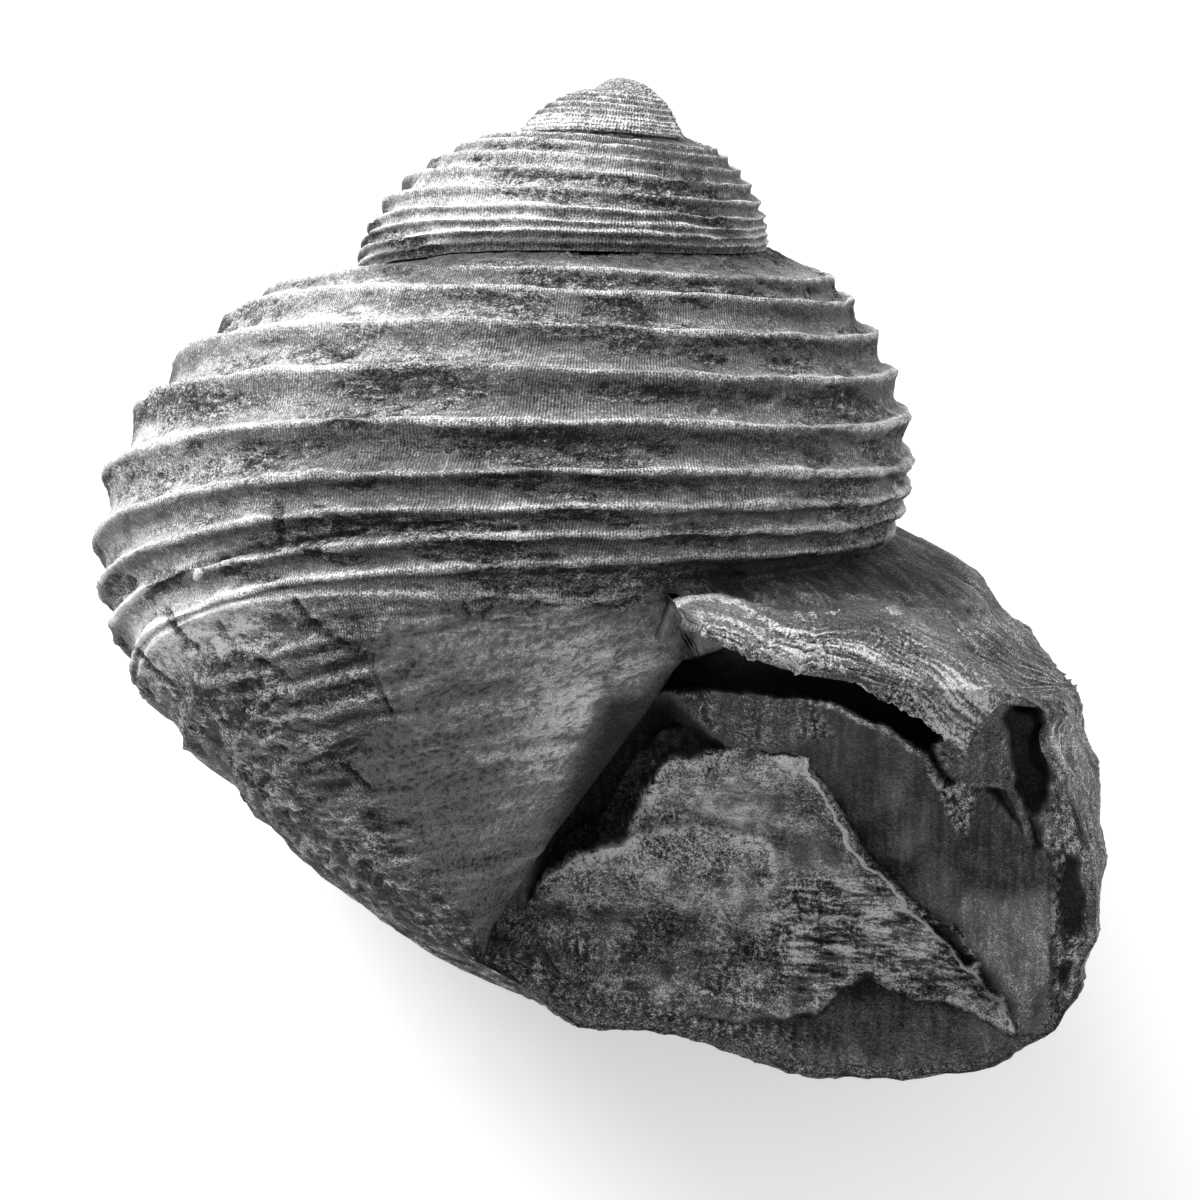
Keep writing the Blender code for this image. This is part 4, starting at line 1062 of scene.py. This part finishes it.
class RimSheet:
    # smooth sheet stretched across the rim: a quadratic in the middle, the rim's own height at the edge
    def __init__(self, rim):
        self.x, self.y, self.z = toPicture(rim)
        self.middle = np.array(mouth["centre"])
        self.weights = np.linalg.lstsq(self.terms(self.x, self.y), self.z, rcond=None)[0]
        angle = np.arctan2(self.y - self.middle[1], self.x - self.middle[0])
        order = np.argsort(angle)
        self.angle = angle[order]
        self.radius = np.hypot(self.x - self.middle[0], self.y - self.middle[1])[order]
        self.height = self.z[order]
        self.outline = np.stack([self.x, self.y], -1)
        self.even = np.linspace(-np.pi, np.pi, 360, endpoint=False)
        around = np.interp(self.even, self.angle, self.height, period=2 * np.pi)
        self.soft = np.mean([np.roll(around, k) for k in range(-12, 13)], 0)

    def terms(self, x, y):  # a constant, x, y and their products, from about the middle of the mouth
        x, y = (x - 800) / 200, (y - 850) / 200
        return np.stack([1 + 0 * x, x, y, x * x, x * y, y * y], -1)

    def level(self, x, y):  # height of the sheet over a place in the picture
        angle = np.arctan2(y - self.middle[1], x - self.middle[0])
        radius = np.interp(angle, self.angle, self.radius, period=2 * np.pi)
        share = np.hypot(x - self.middle[0], y - self.middle[1]) / radius
        edge = np.interp(angle, self.angle, self.height, period=2 * np.pi)
        soft = np.interp(angle, self.even, self.soft, period=2 * np.pi)
        edge = blend(soft, edge, smooth(0.93, 0.985, share))
        near = np.clip(share, 0, 1.05) ** 3
        return near * edge + (1 - near) * (self.terms(x, y) @ self.weights)


def grit(points, size, seed):
    # lumps of mixed sizes: three octaves of noise pushed about by a wider one, strongest in patches
    push = np.stack([noise(points, size * 2, seed + k) for k in (20, 21, 22)], -1)
    lumps = layered(points + 0.7 * size * push, size, 3, seed, 0.8)
    return lumps * (0.30 + 1.2 * smooth(-0.5, 0.7, layered(points, size * 5, 2, seed + 30)))


def mouthDepth(x, y, inward):  # how far the lining lies below the sheet, in picture units
    px, py = wander(x, y, mouth["wander"], 301)
    depth = 3 + 90 * smooth(10, 90, inward)
    bowl = area(px, py, mouth["bowl"], 10)
    depth = blend(depth, 20 + 75 * smooth(0, 110, offLine(px, py, mouth["bowlRim"])), bowl)
    depth = blend(depth, 4, fade(mouth, "outerWall", px) * (1 - bowl))
    shelf = 12 + 84 * smooth(4, 80, inward)
    # areas one over the other, each with its depth and the width of its border
    for key, wanted, width in (
            ("innerSide", 75, 12), ("hollow", 190, 34), ("shelf", shelf, 24), ("block", 50, 10),
            ("gap", 175, 7), ("plate", 10, 6), ("lipBreak", 60, 7), ("wallBreak", 26, 6),
            ("lowBreak", 18, 6)):
        depth = blend(depth, wanted, area(px, py, mouth[key], width))
    return depth


def fillDepth(x, y, lining):  # how far the top of the rock lies below the sheet, in picture units
    px, py = wander(x, y, filling["wander"], 331)
    plug = smooth(-9, 3, insideBy(px, py, filling["plug"]))
    depth = blend(filling["floor"], filling["top"], plug)
    depth = blend(depth, 60, plug * area(px, py, filling["ledge"], 6) * fade(filling, "ledgeFoot", py))
    depth = blend(depth, 14, plug * fade(filling, "lowY", py) * fade(filling, "lowX", px))
    for key, wanted, width in (("dent", 92, 40), ("upperPit", 118, 6), ("lowerPit", 112, 6)):
        depth = blend(depth, wanted, plug * area(px, py, filling[key], width))
    # its lower right tip lies thin over the lining, with its hidden rim close under it
    depth = blend(depth, lining + 16 - 22 * plug, fade(filling, "tipY", py) * fade(filling, "tipX", px))
    crest = offLine(px, py, filling["crest"])
    return depth - plug * (9 * (1 - smooth(0, 26, crest)) + 6 * (1 - smooth(0.5, 5, crest)))


def fourSided(sides, columns, rows):
    # grid spanned between four sides, top, right, bottom and left: both pairs blended, less the corners
    top, right, bottom, left = (alongLine(side, count) for side, count in zip(sides, (columns, rows) * 2))
    u, v = np.linspace(0, 1, columns)[None, :, None], np.linspace(0, 1, rows)[:, None, None]
    corners = blend(blend(top[0], top[-1], u), blend(bottom[0], bottom[-1], u), v)
    return blend(top[None], bottom[None], v) + blend(left[:, None], right[:, None], u) - corners


def alongLine(line, count):  # points at even distances along a line of points
    line = np.asarray(line, float)
    length = np.r_[0, np.cumsum(np.hypot(*np.diff(line, axis=0).T))]
    where = np.linspace(0, length[-1], count)
    return np.stack([np.interp(where, length, line[:, k]) for k in (0, 1)], -1)


def fourSides(outline, corners):
    # a closed outline parted at the points nearest to its corners: top left, top right, bottom right and
    # bottom left
    outline = np.asarray(outline, float)
    turn = [int(np.argmin(np.hypot(*(outline - np.array(corner)).T))) for corner in corners]
    outline = np.roll(outline, -turn[0], 0)
    turn = [(k - turn[0]) % len(outline) for k in turn]
    if turn[1] > turn[3]:
        outline = np.roll(outline[::-1], 1, 0)
        turn = [(-k) % len(outline) for k in turn]
    closed = np.vstack([outline, outline[:1]])
    cuts = turn + [len(outline)]
    parts = [closed[a:b + 1] for a, b in zip(cuts[:-1], cuts[1:])]
    return parts[0], parts[1], parts[2][::-1], parts[3][::-1]


def softTones(x, y, start, tones, seed):  # a tone changed area by area over soft borders
    px, py = wander(x, y, 5.0, seed)
    tone = start + 0 * x
    for outline, width, wanted in tones:
        tone = blend(tone, wanted, area(px, py, outline, width))
    return tone


# painted highlight on what stands out, painted shade in between
def paintedGrainLight(fine, rough):  # light on what stands out from the mean of its neighbours, dark in between
    return np.clip((fine - blurred(fine, 2)) / 1.6, -0.7, 1.3) * (0.25 + 0.9 * rough)


def closeSheet(grid, height, fields, thick, every, wraps=False):
    # a grid of picture points with heights, and under it a sheet of every few rows, closer at the start,
    # below the lowest point near each; walls join the two all round, or only along the first and last row
    # of a grid that wraps
    rows, columns = height.shape
    kept = np.r_[np.arange(0, 2 * every, max(every // 5, 1)), np.arange(2 * every, rows - 1, every), rows - 1]
    before, after = np.r_[kept[:1], kept[:-1]], np.r_[kept[1:], kept[-1:]]
    lowest = np.array([height[a:b + 1].min(0) for a, b in zip(before, after)]) - thick
    points = np.vstack([fromPicture(grid[..., 0], grid[..., 1], height).reshape(-1, 3),
                        fromPicture(grid[kept][..., 0], grid[kept][..., 1], lowest).reshape(-1, 3)])
    fields = {key: (value + 0 * height) for key, value in fields.items()}
    fields = {key: np.r_[value.ravel(), value[kept].ravel()] for key, value in fields.items()}
    upper = np.arange(rows * columns).reshape(rows, columns)
    lower = np.arange(len(kept) * columns).reshape(len(kept), columns) + rows * columns
    if wraps:
        upper, lower = (np.column_stack([numbers, numbers[:, :1]]) for numbers in (upper, lower))
    faces = quadFaces(upper).tolist() + quadFaces(lower)[:, ::-1].tolist()
    faces += np.stack([upper[0, :-1], upper[0, 1:], lower[0, 1:], lower[0, :-1]], -1).tolist()
    faces += np.stack([upper[-1, 1:], upper[-1, :-1], lower[-1, :-1], lower[-1, 1:]], -1).tolist()
    if not wraps:
        for k, (start, end) in enumerate(zip(kept[:-1], kept[1:])):
            faces.append(upper[start:end + 1, 0][::-1].tolist() + [int(lower[k, 0]), int(lower[k + 1, 0])])
            faces.append(upper[start:end + 1, -1].tolist() + [int(lower[k + 1, -1]), int(lower[k, -1])])
    a, b, c = (points[[face[k] for face in faces[:rows * columns // 2:97]]] for k in (0, 1, 2))
    if np.cross(b - a, c - a)[:, 2].mean() < 0:
        faces = [face[::-1] for face in faces]
    return points, faces, fields


def closeMouth(points, faces, fields, rim, sheet):
    # the shell's own wall inside its rim: a ring just inside, then down behind the lining, all dark
    x, y, z = toPicture(points[rim])
    rings = []
    for share in (0.985, 0.972, 0.85, 0.6, 0.3):
        rx, ry = blend(sheet.middle[0], x, share), blend(sheet.middle[1], y, share)
        # close under the lining along the right and below, where the whorl's wall draws in under its rim
        depth = mouth["deep"]
        for (start, fall), where in ((mouth["rightDepth"], fade(mouth, "rightWall", rx)),
                                     (mouth["lowDepth"], fade(mouth, "lowWall", ry))):
            depth = blend(depth, start + fall * (0.972 - share), where * (share > 0.8))
        depth = 16 if share > 0.98 else depth
        rings.append(fromPicture(rx, ry, sheet.level(rx, ry) - depth))
    centre = fromPicture(*sheet.middle, sheet.level(*sheet.middle) - mouth["deep"])
    return joinRings(points, faces, fields, rim, rings, centre, 0.0)


def buildLining(sheet):
    # inner side of the lip and walls, as a height over the picture plane on rings that shrink from the rim
    around, rings = mouth["grid"]
    angle = np.linspace(-np.pi, np.pi, around, endpoint=False)[None, :]
    reach = np.interp(angle, sheet.angle, sheet.radius, period=2 * np.pi)
    share = np.linspace(mouth["outer"], mouth["inner"], rings)[:, None]
    x = sheet.middle[0] + reach * share * np.cos(angle)
    y = sheet.middle[1] + reach * share * np.sin(angle)
    inward = insideBy(x, y, sheet.outline)
    here = fromPicture(x, y, 0 * x)
    px, py = wander(x, y, mouth["wander"], 301)
    grainy = grit(here, 0.12, 303)
    patch = area(px, py, mouth["crumblyPatch"], 8)
    gap = area(px, py, mouth["gap"], 7)
    pits = np.clip(sum(area(px, py, mouth[key], 8) for key in ("lipBreak", "wallBreak", "lowBreak")), 0, 1)
    plain = (1 - gap) * (1 - pits)
    marks = {
        "crumbs": (1 - smooth(1.5, 6.5, offLine(px, py, mouth["crumblyRim"]))) * (0.8 + 0.5 * grainy),
        "patch": patch, "patchGrains": patch * grainy,
        "crack": stroke(px, py, mouth["thinCrack"], 3.0),
        "wallEdge": stroke(px, py, mouth["wallEdge"], 3.6) * (0.8 + 0.5 * grainy),
        "outerEdge": stroke(px, py, mouth["outerEdge"], 7) * (0.6 + 0.7 * grainy),
        "block": area(px, py, mouth["block"], 14), "plate": area(px, py, mouth["plate"], 10),
        "stub": area(px, py, mouth["stub"], 6) + area(px, py, mouth["lowStub"], 6),
        "rock": fade(mouth, "rockX", x) * fade(mouth, "rockY", y), "foot": fade(mouth, "foot", y),
        "lowerLeft": fade(mouth, "lowerLeftX", x) * fade(mouth, "lowerLeftY", y),
        "outside": fade(mouth, "outside", x)}
    rough = np.clip(0.20 + weighted(marks, mouth["roughs"]), 0, 1)
    # brush-like lines that follow the wall down, and layers along the broken outer edge
    brush = layered(here * np.array([1.0, 0.16, 0.0]), 0.16, 3, 307, 0.7)
    across = here[..., 0] + 0.05 * noise(here, 0.8, 305)
    layers = layered(np.stack([across, here[..., 1] * 0.12, 0 * x], -1), 0.13, 2, 309)
    fine = rough * 2.6 * grit(here, 0.13, 111) + 0.5 * brush
    fine = fine + 2.4 * layers * marks["outside"] * (1 - marks["stub"])
    lift = 3.0 * layered(here, 0.9, 3, 101) + fine + weighted(marks, mouth["rises"])
    height = sheet.level(x, y) - mouthDepth(x, y, inward) + lift * plain * smooth(0, 8, inward)
    # painted highlights on grains, brush lines and marks
    paintedEdgeLight = paintedGrainLight(fine, rough) + 0.24 * brush + weighted(marks, mouth["lights"])
    columella = fade(mouth, "columellaX", x) * fade(mouth, "columellaY", y)
    columella = columella * fade(mouth, "columellaIn", inward)
    corner = fade(mouth, "cornerX", x) * fade(mouth, "cornerY", y)
    cornerTone = 0.17 + 0.16 * fade(mouth, "cornerShade", y) + 0.20 * layered(here, 0.3, 3, 347)
    tone = softTones(x, y, 0.30, mouth["tones"], 341)
    # painted shade: the hollow and the gap are painted black, the broken pits near black
    for wanted, where in ((0.36, columella), (cornerTone, corner), (0.30, marks["lowerLeft"]),
                          (0.0, area(px, py, mouth["hollow"], 40)),
                          (0.24 + 0.12 * noise(here, 0.5, 345), marks["block"]), (0.0, gap), (0.03, pits)):
        tone = blend(tone, wanted, where)
    tone = tone - 0.3 * marks["crack"] + 0.06 * noise(here, 0.6, 343) * plain
    fields = {"tone": tone, "edge": paintedEdgeLight * plain, "rough": rough * plain}
    return closeSheet(np.stack([x, y], -1), height, fields, mouth["thick"], mouth["keptRows"], True)


def buildFilling(sheet):
    # lump of rock: a height over the picture plane that sinks below the lining at its border
    grid = fourSided(fourSides(filling["pocket"], filling["corners"]), *filling["grid"])
    x, y = grid[..., 0], grid[..., 1]
    here = fromPicture(x, y, 0 * x)
    px, py = wander(x, y, filling["wander"], 331)
    plugIn, ledgeIn = (insideBy(px, py, filling[key]) for key in ("plug", "ledge"))
    plug = smooth(-9, 3, plugIn)
    grainy = grit(here, 0.10, 351)
    banded = fade(filling, "bandsX", px) * fade(filling, "bandsTop", py) * fade(filling, "bandsFoot", py)
    level = here[..., 1] + here[..., 0] * 0.12 + 0.05 * noise(here, 0.7, 363)
    streak = layered(np.stack([here[..., 0] * 0.22, level, 0 * x], -1), 0.13, 3, 361, 0.7)
    plugEdge = smooth(-3, 1, plugIn) * (1 - smooth(3, 16, plugIn)) * fade(filling, "plugLightY", y)
    plugEdge = plugEdge * fade(filling, "plugLightX", x)
    endGrit = area(px, py, filling["endGrit"], 8)
    marks = {
        "crest": (1 - smooth(0.4, 2.4, offLine(px, py, filling["crest"]))) * (0.9 + 0.5 * grainy),
        "branch": stroke(px, py, filling["branch"], 3.0),
        "crack": stroke(px, py, filling["smallCrack"], 3.0),
        "seam": stroke(px, py, filling["lowSeam"], 4) * (0.6 + 0.6 * grainy),
        "lowEdge": (1 - smooth(1, 6, offLine(px, py, filling["lowEdge"]))) * (0.6 + 0.7 * grainy),
        "ledge": (smooth(-3, 1, ledgeIn) * (1 - smooth(2, 16, ledgeIn)) * fade(filling, "ledgeLight", y)
                  * (0.7 + 0.8 * grainy)),
        "flake": area(px, py, filling["flake"], 3), "calm": area(px, py, filling["calm"], 30),
        "plugEdge": plugEdge, "plugGrains": plugEdge * grainy,
        "endGrit": endGrit, "endGrains": endGrit * grainy, "streaks": banded * streak}
    rough = np.clip(0.60 + 0.5 * noise(here, 0.7, 141) + weighted(marks, filling["roughs"]), 0.1, 1)
    fine = rough * 3.2 * grit(here, 0.15, 161) + 1.5 * marks["streaks"]
    lift = 6.0 * layered(here, 1.1, 4, 151, 0.6) + fine + weighted(marks, filling["rises"])
    lining = mouthDepth(x, y, insideBy(x, y, sheet.outline))
    height = sheet.level(x, y) - fillDepth(x, y, lining) + lift
    rubble = fade(filling, "rubbleX", x) * fade(filling, "rubbleY", y) * (1 - plug)
    tone = blend(0.03, softTones(x, y, 0.30, filling["tones"], 371), plug)
    # the crest is painted lighter as a highlight
    tone = tone + 0.22 * layered(here, 0.42, 3, 373) + 0.2 * marks["crest"] - 0.3 * marks["crack"]
    tone = tone + 0.28 * endGrit + 0.28 * rubble * np.clip(0.3 + grainy, 0, 1)
    # painted shade: the pits are painted near black
    pits = np.clip(area(px, py, filling["upperPit"], 7) + area(px, py, filling["lowerPit"], 6), 0, 1)
    # painted highlights on grains and marks
    paintedEdgeLight = (paintedGrainLight(fine, rough) + weighted(marks, filling["lights"])) * (plug + 0.6 * rubble)
    fields = {"tone": blend(tone, 0.05, pits), "edge": paintedEdgeLight * (1 - pits),
              "rough": rough * (plug + rubble), "dash": 0.55 * banded + 0.30 * plug}
    return closeSheet(grid, height, fields, filling["thick"], filling["keptRows"])


def buildOuterLip(points):
    # thin broken layer over the outer lip: its height is a quartic fitted to the whorl below, lifted a
    # little, with stripes that fan out along the lip, standing flakes and crumbs along its broken edge
    x, y, z = toPicture(points)
    (left, right), (top, foot) = outerLip["nearX"], outerLip["nearY"]
    near = (x > left) & (x < right) & (y > top) & (y < foot) & (z > 150)

    def terms(x, y):  # products of powers of x and y, from about the middle of the layer
        x, y = ((value - middle) / reach
                for value, middle, reach in zip((x, y), outerLip["fitMiddle"], outerLip["fitReach"]))
        return np.stack([x ** i * y ** j for i in range(5) for j in range(4 - min(i, 3))], -1)

    weights = np.linalg.lstsq(terms(x[near], y[near]), z[near], rcond=None)[0]
    sides = (outerLip["upper"], outerLip["tip"][::-1], outerLip["lower"], [outerLip["upper"][0]] * 2)
    grid = fourSided(sides, *outerLip["grid"])
    gx, gy = grid[..., 0], grid[..., 1]
    u = np.linspace(0, 1, grid.shape[1])[None, :] + 0 * gx
    v = np.linspace(0, 1, grid.shape[0])[:, None] + 0 * gx
    here = fromPicture(gx, gy, 0 * gx)
    gy = gy + v ** 6 * 2.4 * (noise(here, 0.12, 401) + 0.6 * noise(here, 0.05, 402))
    grainy = grit(here, 0.12, 405)
    lines = np.stack([u * 5.0, v * 16.0 + 1.2 * noise(here, 1.2, 403), 0 * u], -1)
    stripes = layered(lines, 1.6, 3, 407, 0.7)
    strong = smooth(0.30, 0.60, v) * smooth(0.22, 0.42, u)
    nearEdge = smooth(0.72, 0.95, v)
    dark = area(gx, gy, outerLip["dark"], 20)
    flakes = linesOn(*wander(gx, gy, 2.0, 409), outerLip["flakes"], 0.25) * (0.8 + 0.5 * grainy)
    rough = np.clip(0.45 + 0.3 * strong + 0.3 * nearEdge + 0.3 * flakes, 0, 1)
    fine = rough * 2.4 * grit(here, 0.13, 411) + (1.0 + 1.6 * strong) * stripes
    lift = outerLip["lift"] * smooth(0, 0.25, v) - 6 * (1 - smooth(0, 0.12, v))
    lift = lift - 4 * smooth(0.93, 1.0, v) ** 2
    edgeY = np.interp(gx, *np.array(outerLip["rimLine"]).T) - 4
    beyond = np.clip(gy - edgeY, 0, None)
    height = terms(gx, np.minimum(gy, edgeY)) @ weights + lift - outerLip["droop"] * beyond
    height = np.minimum(height, outerLip["ceiling"]) + fine + 6 * flakes
    # painted highlights on grains, stripes, the broken edge and the flakes
    paintedEdgeLight = (paintedGrainLight(fine, rough) + (0.25 + 0.9 * strong) * np.clip(stripes, -0.5, 1)
                 + 0.5 * nearEdge * (0.6 + grainy) + 1.4 * flakes)
    # painted shade under the suture's overhang and along the layer's upper side, painted light on its tongue
    tone = 0.34 + 0.13 * strong + 0.08 * nearEdge + 0.08 * noise(here, 0.6, 431) - 0.20 * dark
    tone = tone - 0.20 * (1 - smooth(0.05, 0.5, v)) * smooth(0.15, 0.3, u) + 0.22 * smooth(0.72, 0.9, u) * v
    fields = {"tone": tone, "edge": paintedEdgeLight * (1 - 0.6 * dark), "rough": rough}
    return closeSheet(np.stack([gx, gy], -1), height, fields, outerLip["thick"], outerLip["keptRows"])


shellPart = ("shell", "shell_stone", calcite)
bodyPoints, bodyFaces, bodyFields, rim = buildBody()
sheet = RimSheet(bodyPoints[rim])
lipParts = buildOuterLip(bodyPoints)
makePiece("spire", *flatten(*buildSpire()), *shellPart)
makePiece("bodyWhorl", *flatten(*closeMouth(bodyPoints, bodyFaces, bodyFields, rim, sheet)), *shellPart)
makePiece("mouthLining", *buildLining(sheet), *shellPart)
makePiece("outerLip", *lipParts, *shellPart)
for name, skin in skins.items():
    makePiece(name, *flatten(*buildSkin(skin)), *shellPart)
makePiece("rockFilling", *buildFilling(sheet), "sediment_fill", "fill_stone", mudstone)

# Floor, lights and camera.

studio = {"floorHalf": 0.4, "floorTone": "#f4f4f4", "floorRough": 0.9, "floorGlow": 0.30,
          "keyStrength": 5.0, "keyAngleDeg": 34, "keyFrom": (-0.52, 0.80, 0.36),
          "fillStrength": 0.8, "fillAngleDeg": 60, "fillFrom": (0.1, 0.3, 1.0), "sky": 0.50,
          "lens": 1000.0, "sensor": 36.0, "pictureWide": 1200}


def makeFloor():  # a flat square
    half = studio["floorHalf"]
    corners = [(-half, -half, 0), (half, -half, 0), (half, half, 0), (-half, half, 0)]
    data = bpy.data.meshes.new("paleFloor")
    data.from_pydata(corners, [], [(0, 1, 2, 3)])
    floor = bpy.data.objects.new("paleFloor", data)
    bpy.context.scene.collection.objects.link(floor)
    # matt white paper, with a slight glow that keeps the shell's shadow on it pale
    paper = bpy.data.materials.new("whitePaper")
    paper.use_nodes = True
    for key, value in (("Base Color", linear(studio["floorTone"])), ("Roughness", studio["floorRough"]),
                       ("Emission Color", (1, 1, 1, 1)), ("Emission Strength", studio["floorGlow"])):
        paper.node_tree.nodes["Principled BSDF"].inputs[key].default_value = value
    data.materials.append(paper)


def makeSun(name, strength, angleDeg, toward):  # soft sunlight from a direction
    data = bpy.data.lights.new(name, "SUN")
    data.energy = strength
    data.angle = np.radians(angleDeg)
    sun = bpy.data.objects.new(name, data)
    sun.rotation_euler = Vector(toward).to_track_quat("Z", "Y").to_euler()
    bpy.context.scene.collection.objects.link(sun)


def makeCamera():  # straight down on the shell, from so far that the view is nearly parallel
    data = bpy.data.cameras.new("camera")
    data.lens, data.sensor_width = studio["lens"], studio["sensor"]
    wide = studio["pictureWide"] * unit * mm
    distance = wide * studio["lens"] / studio["sensor"]
    camera = bpy.data.objects.new("camera", data)
    camera.location = (-origin[0] * mm, -origin[1] * mm, -origin[2] * mm + distance)
    data.clip_start, data.clip_end = distance * 0.5, distance * 1.5
    bpy.context.scene.collection.objects.link(camera)
    bpy.context.scene.camera = camera


makeFloor()
makeSun("key", studio["keyStrength"], studio["keyAngleDeg"], studio["keyFrom"])
makeSun("fill", studio["fillStrength"], studio["fillAngleDeg"], studio["fillFrom"])
world = bpy.data.worlds.new("sky")
world.use_nodes = True
sky = world.node_tree.nodes["Background"].inputs
sky["Color"].default_value, sky["Strength"].default_value = (1, 1, 1, 1), studio["sky"]
bpy.context.scene.world = world
bpy.context.scene.view_settings.view_transform = "Standard"
makeCamera()
print("stage set")
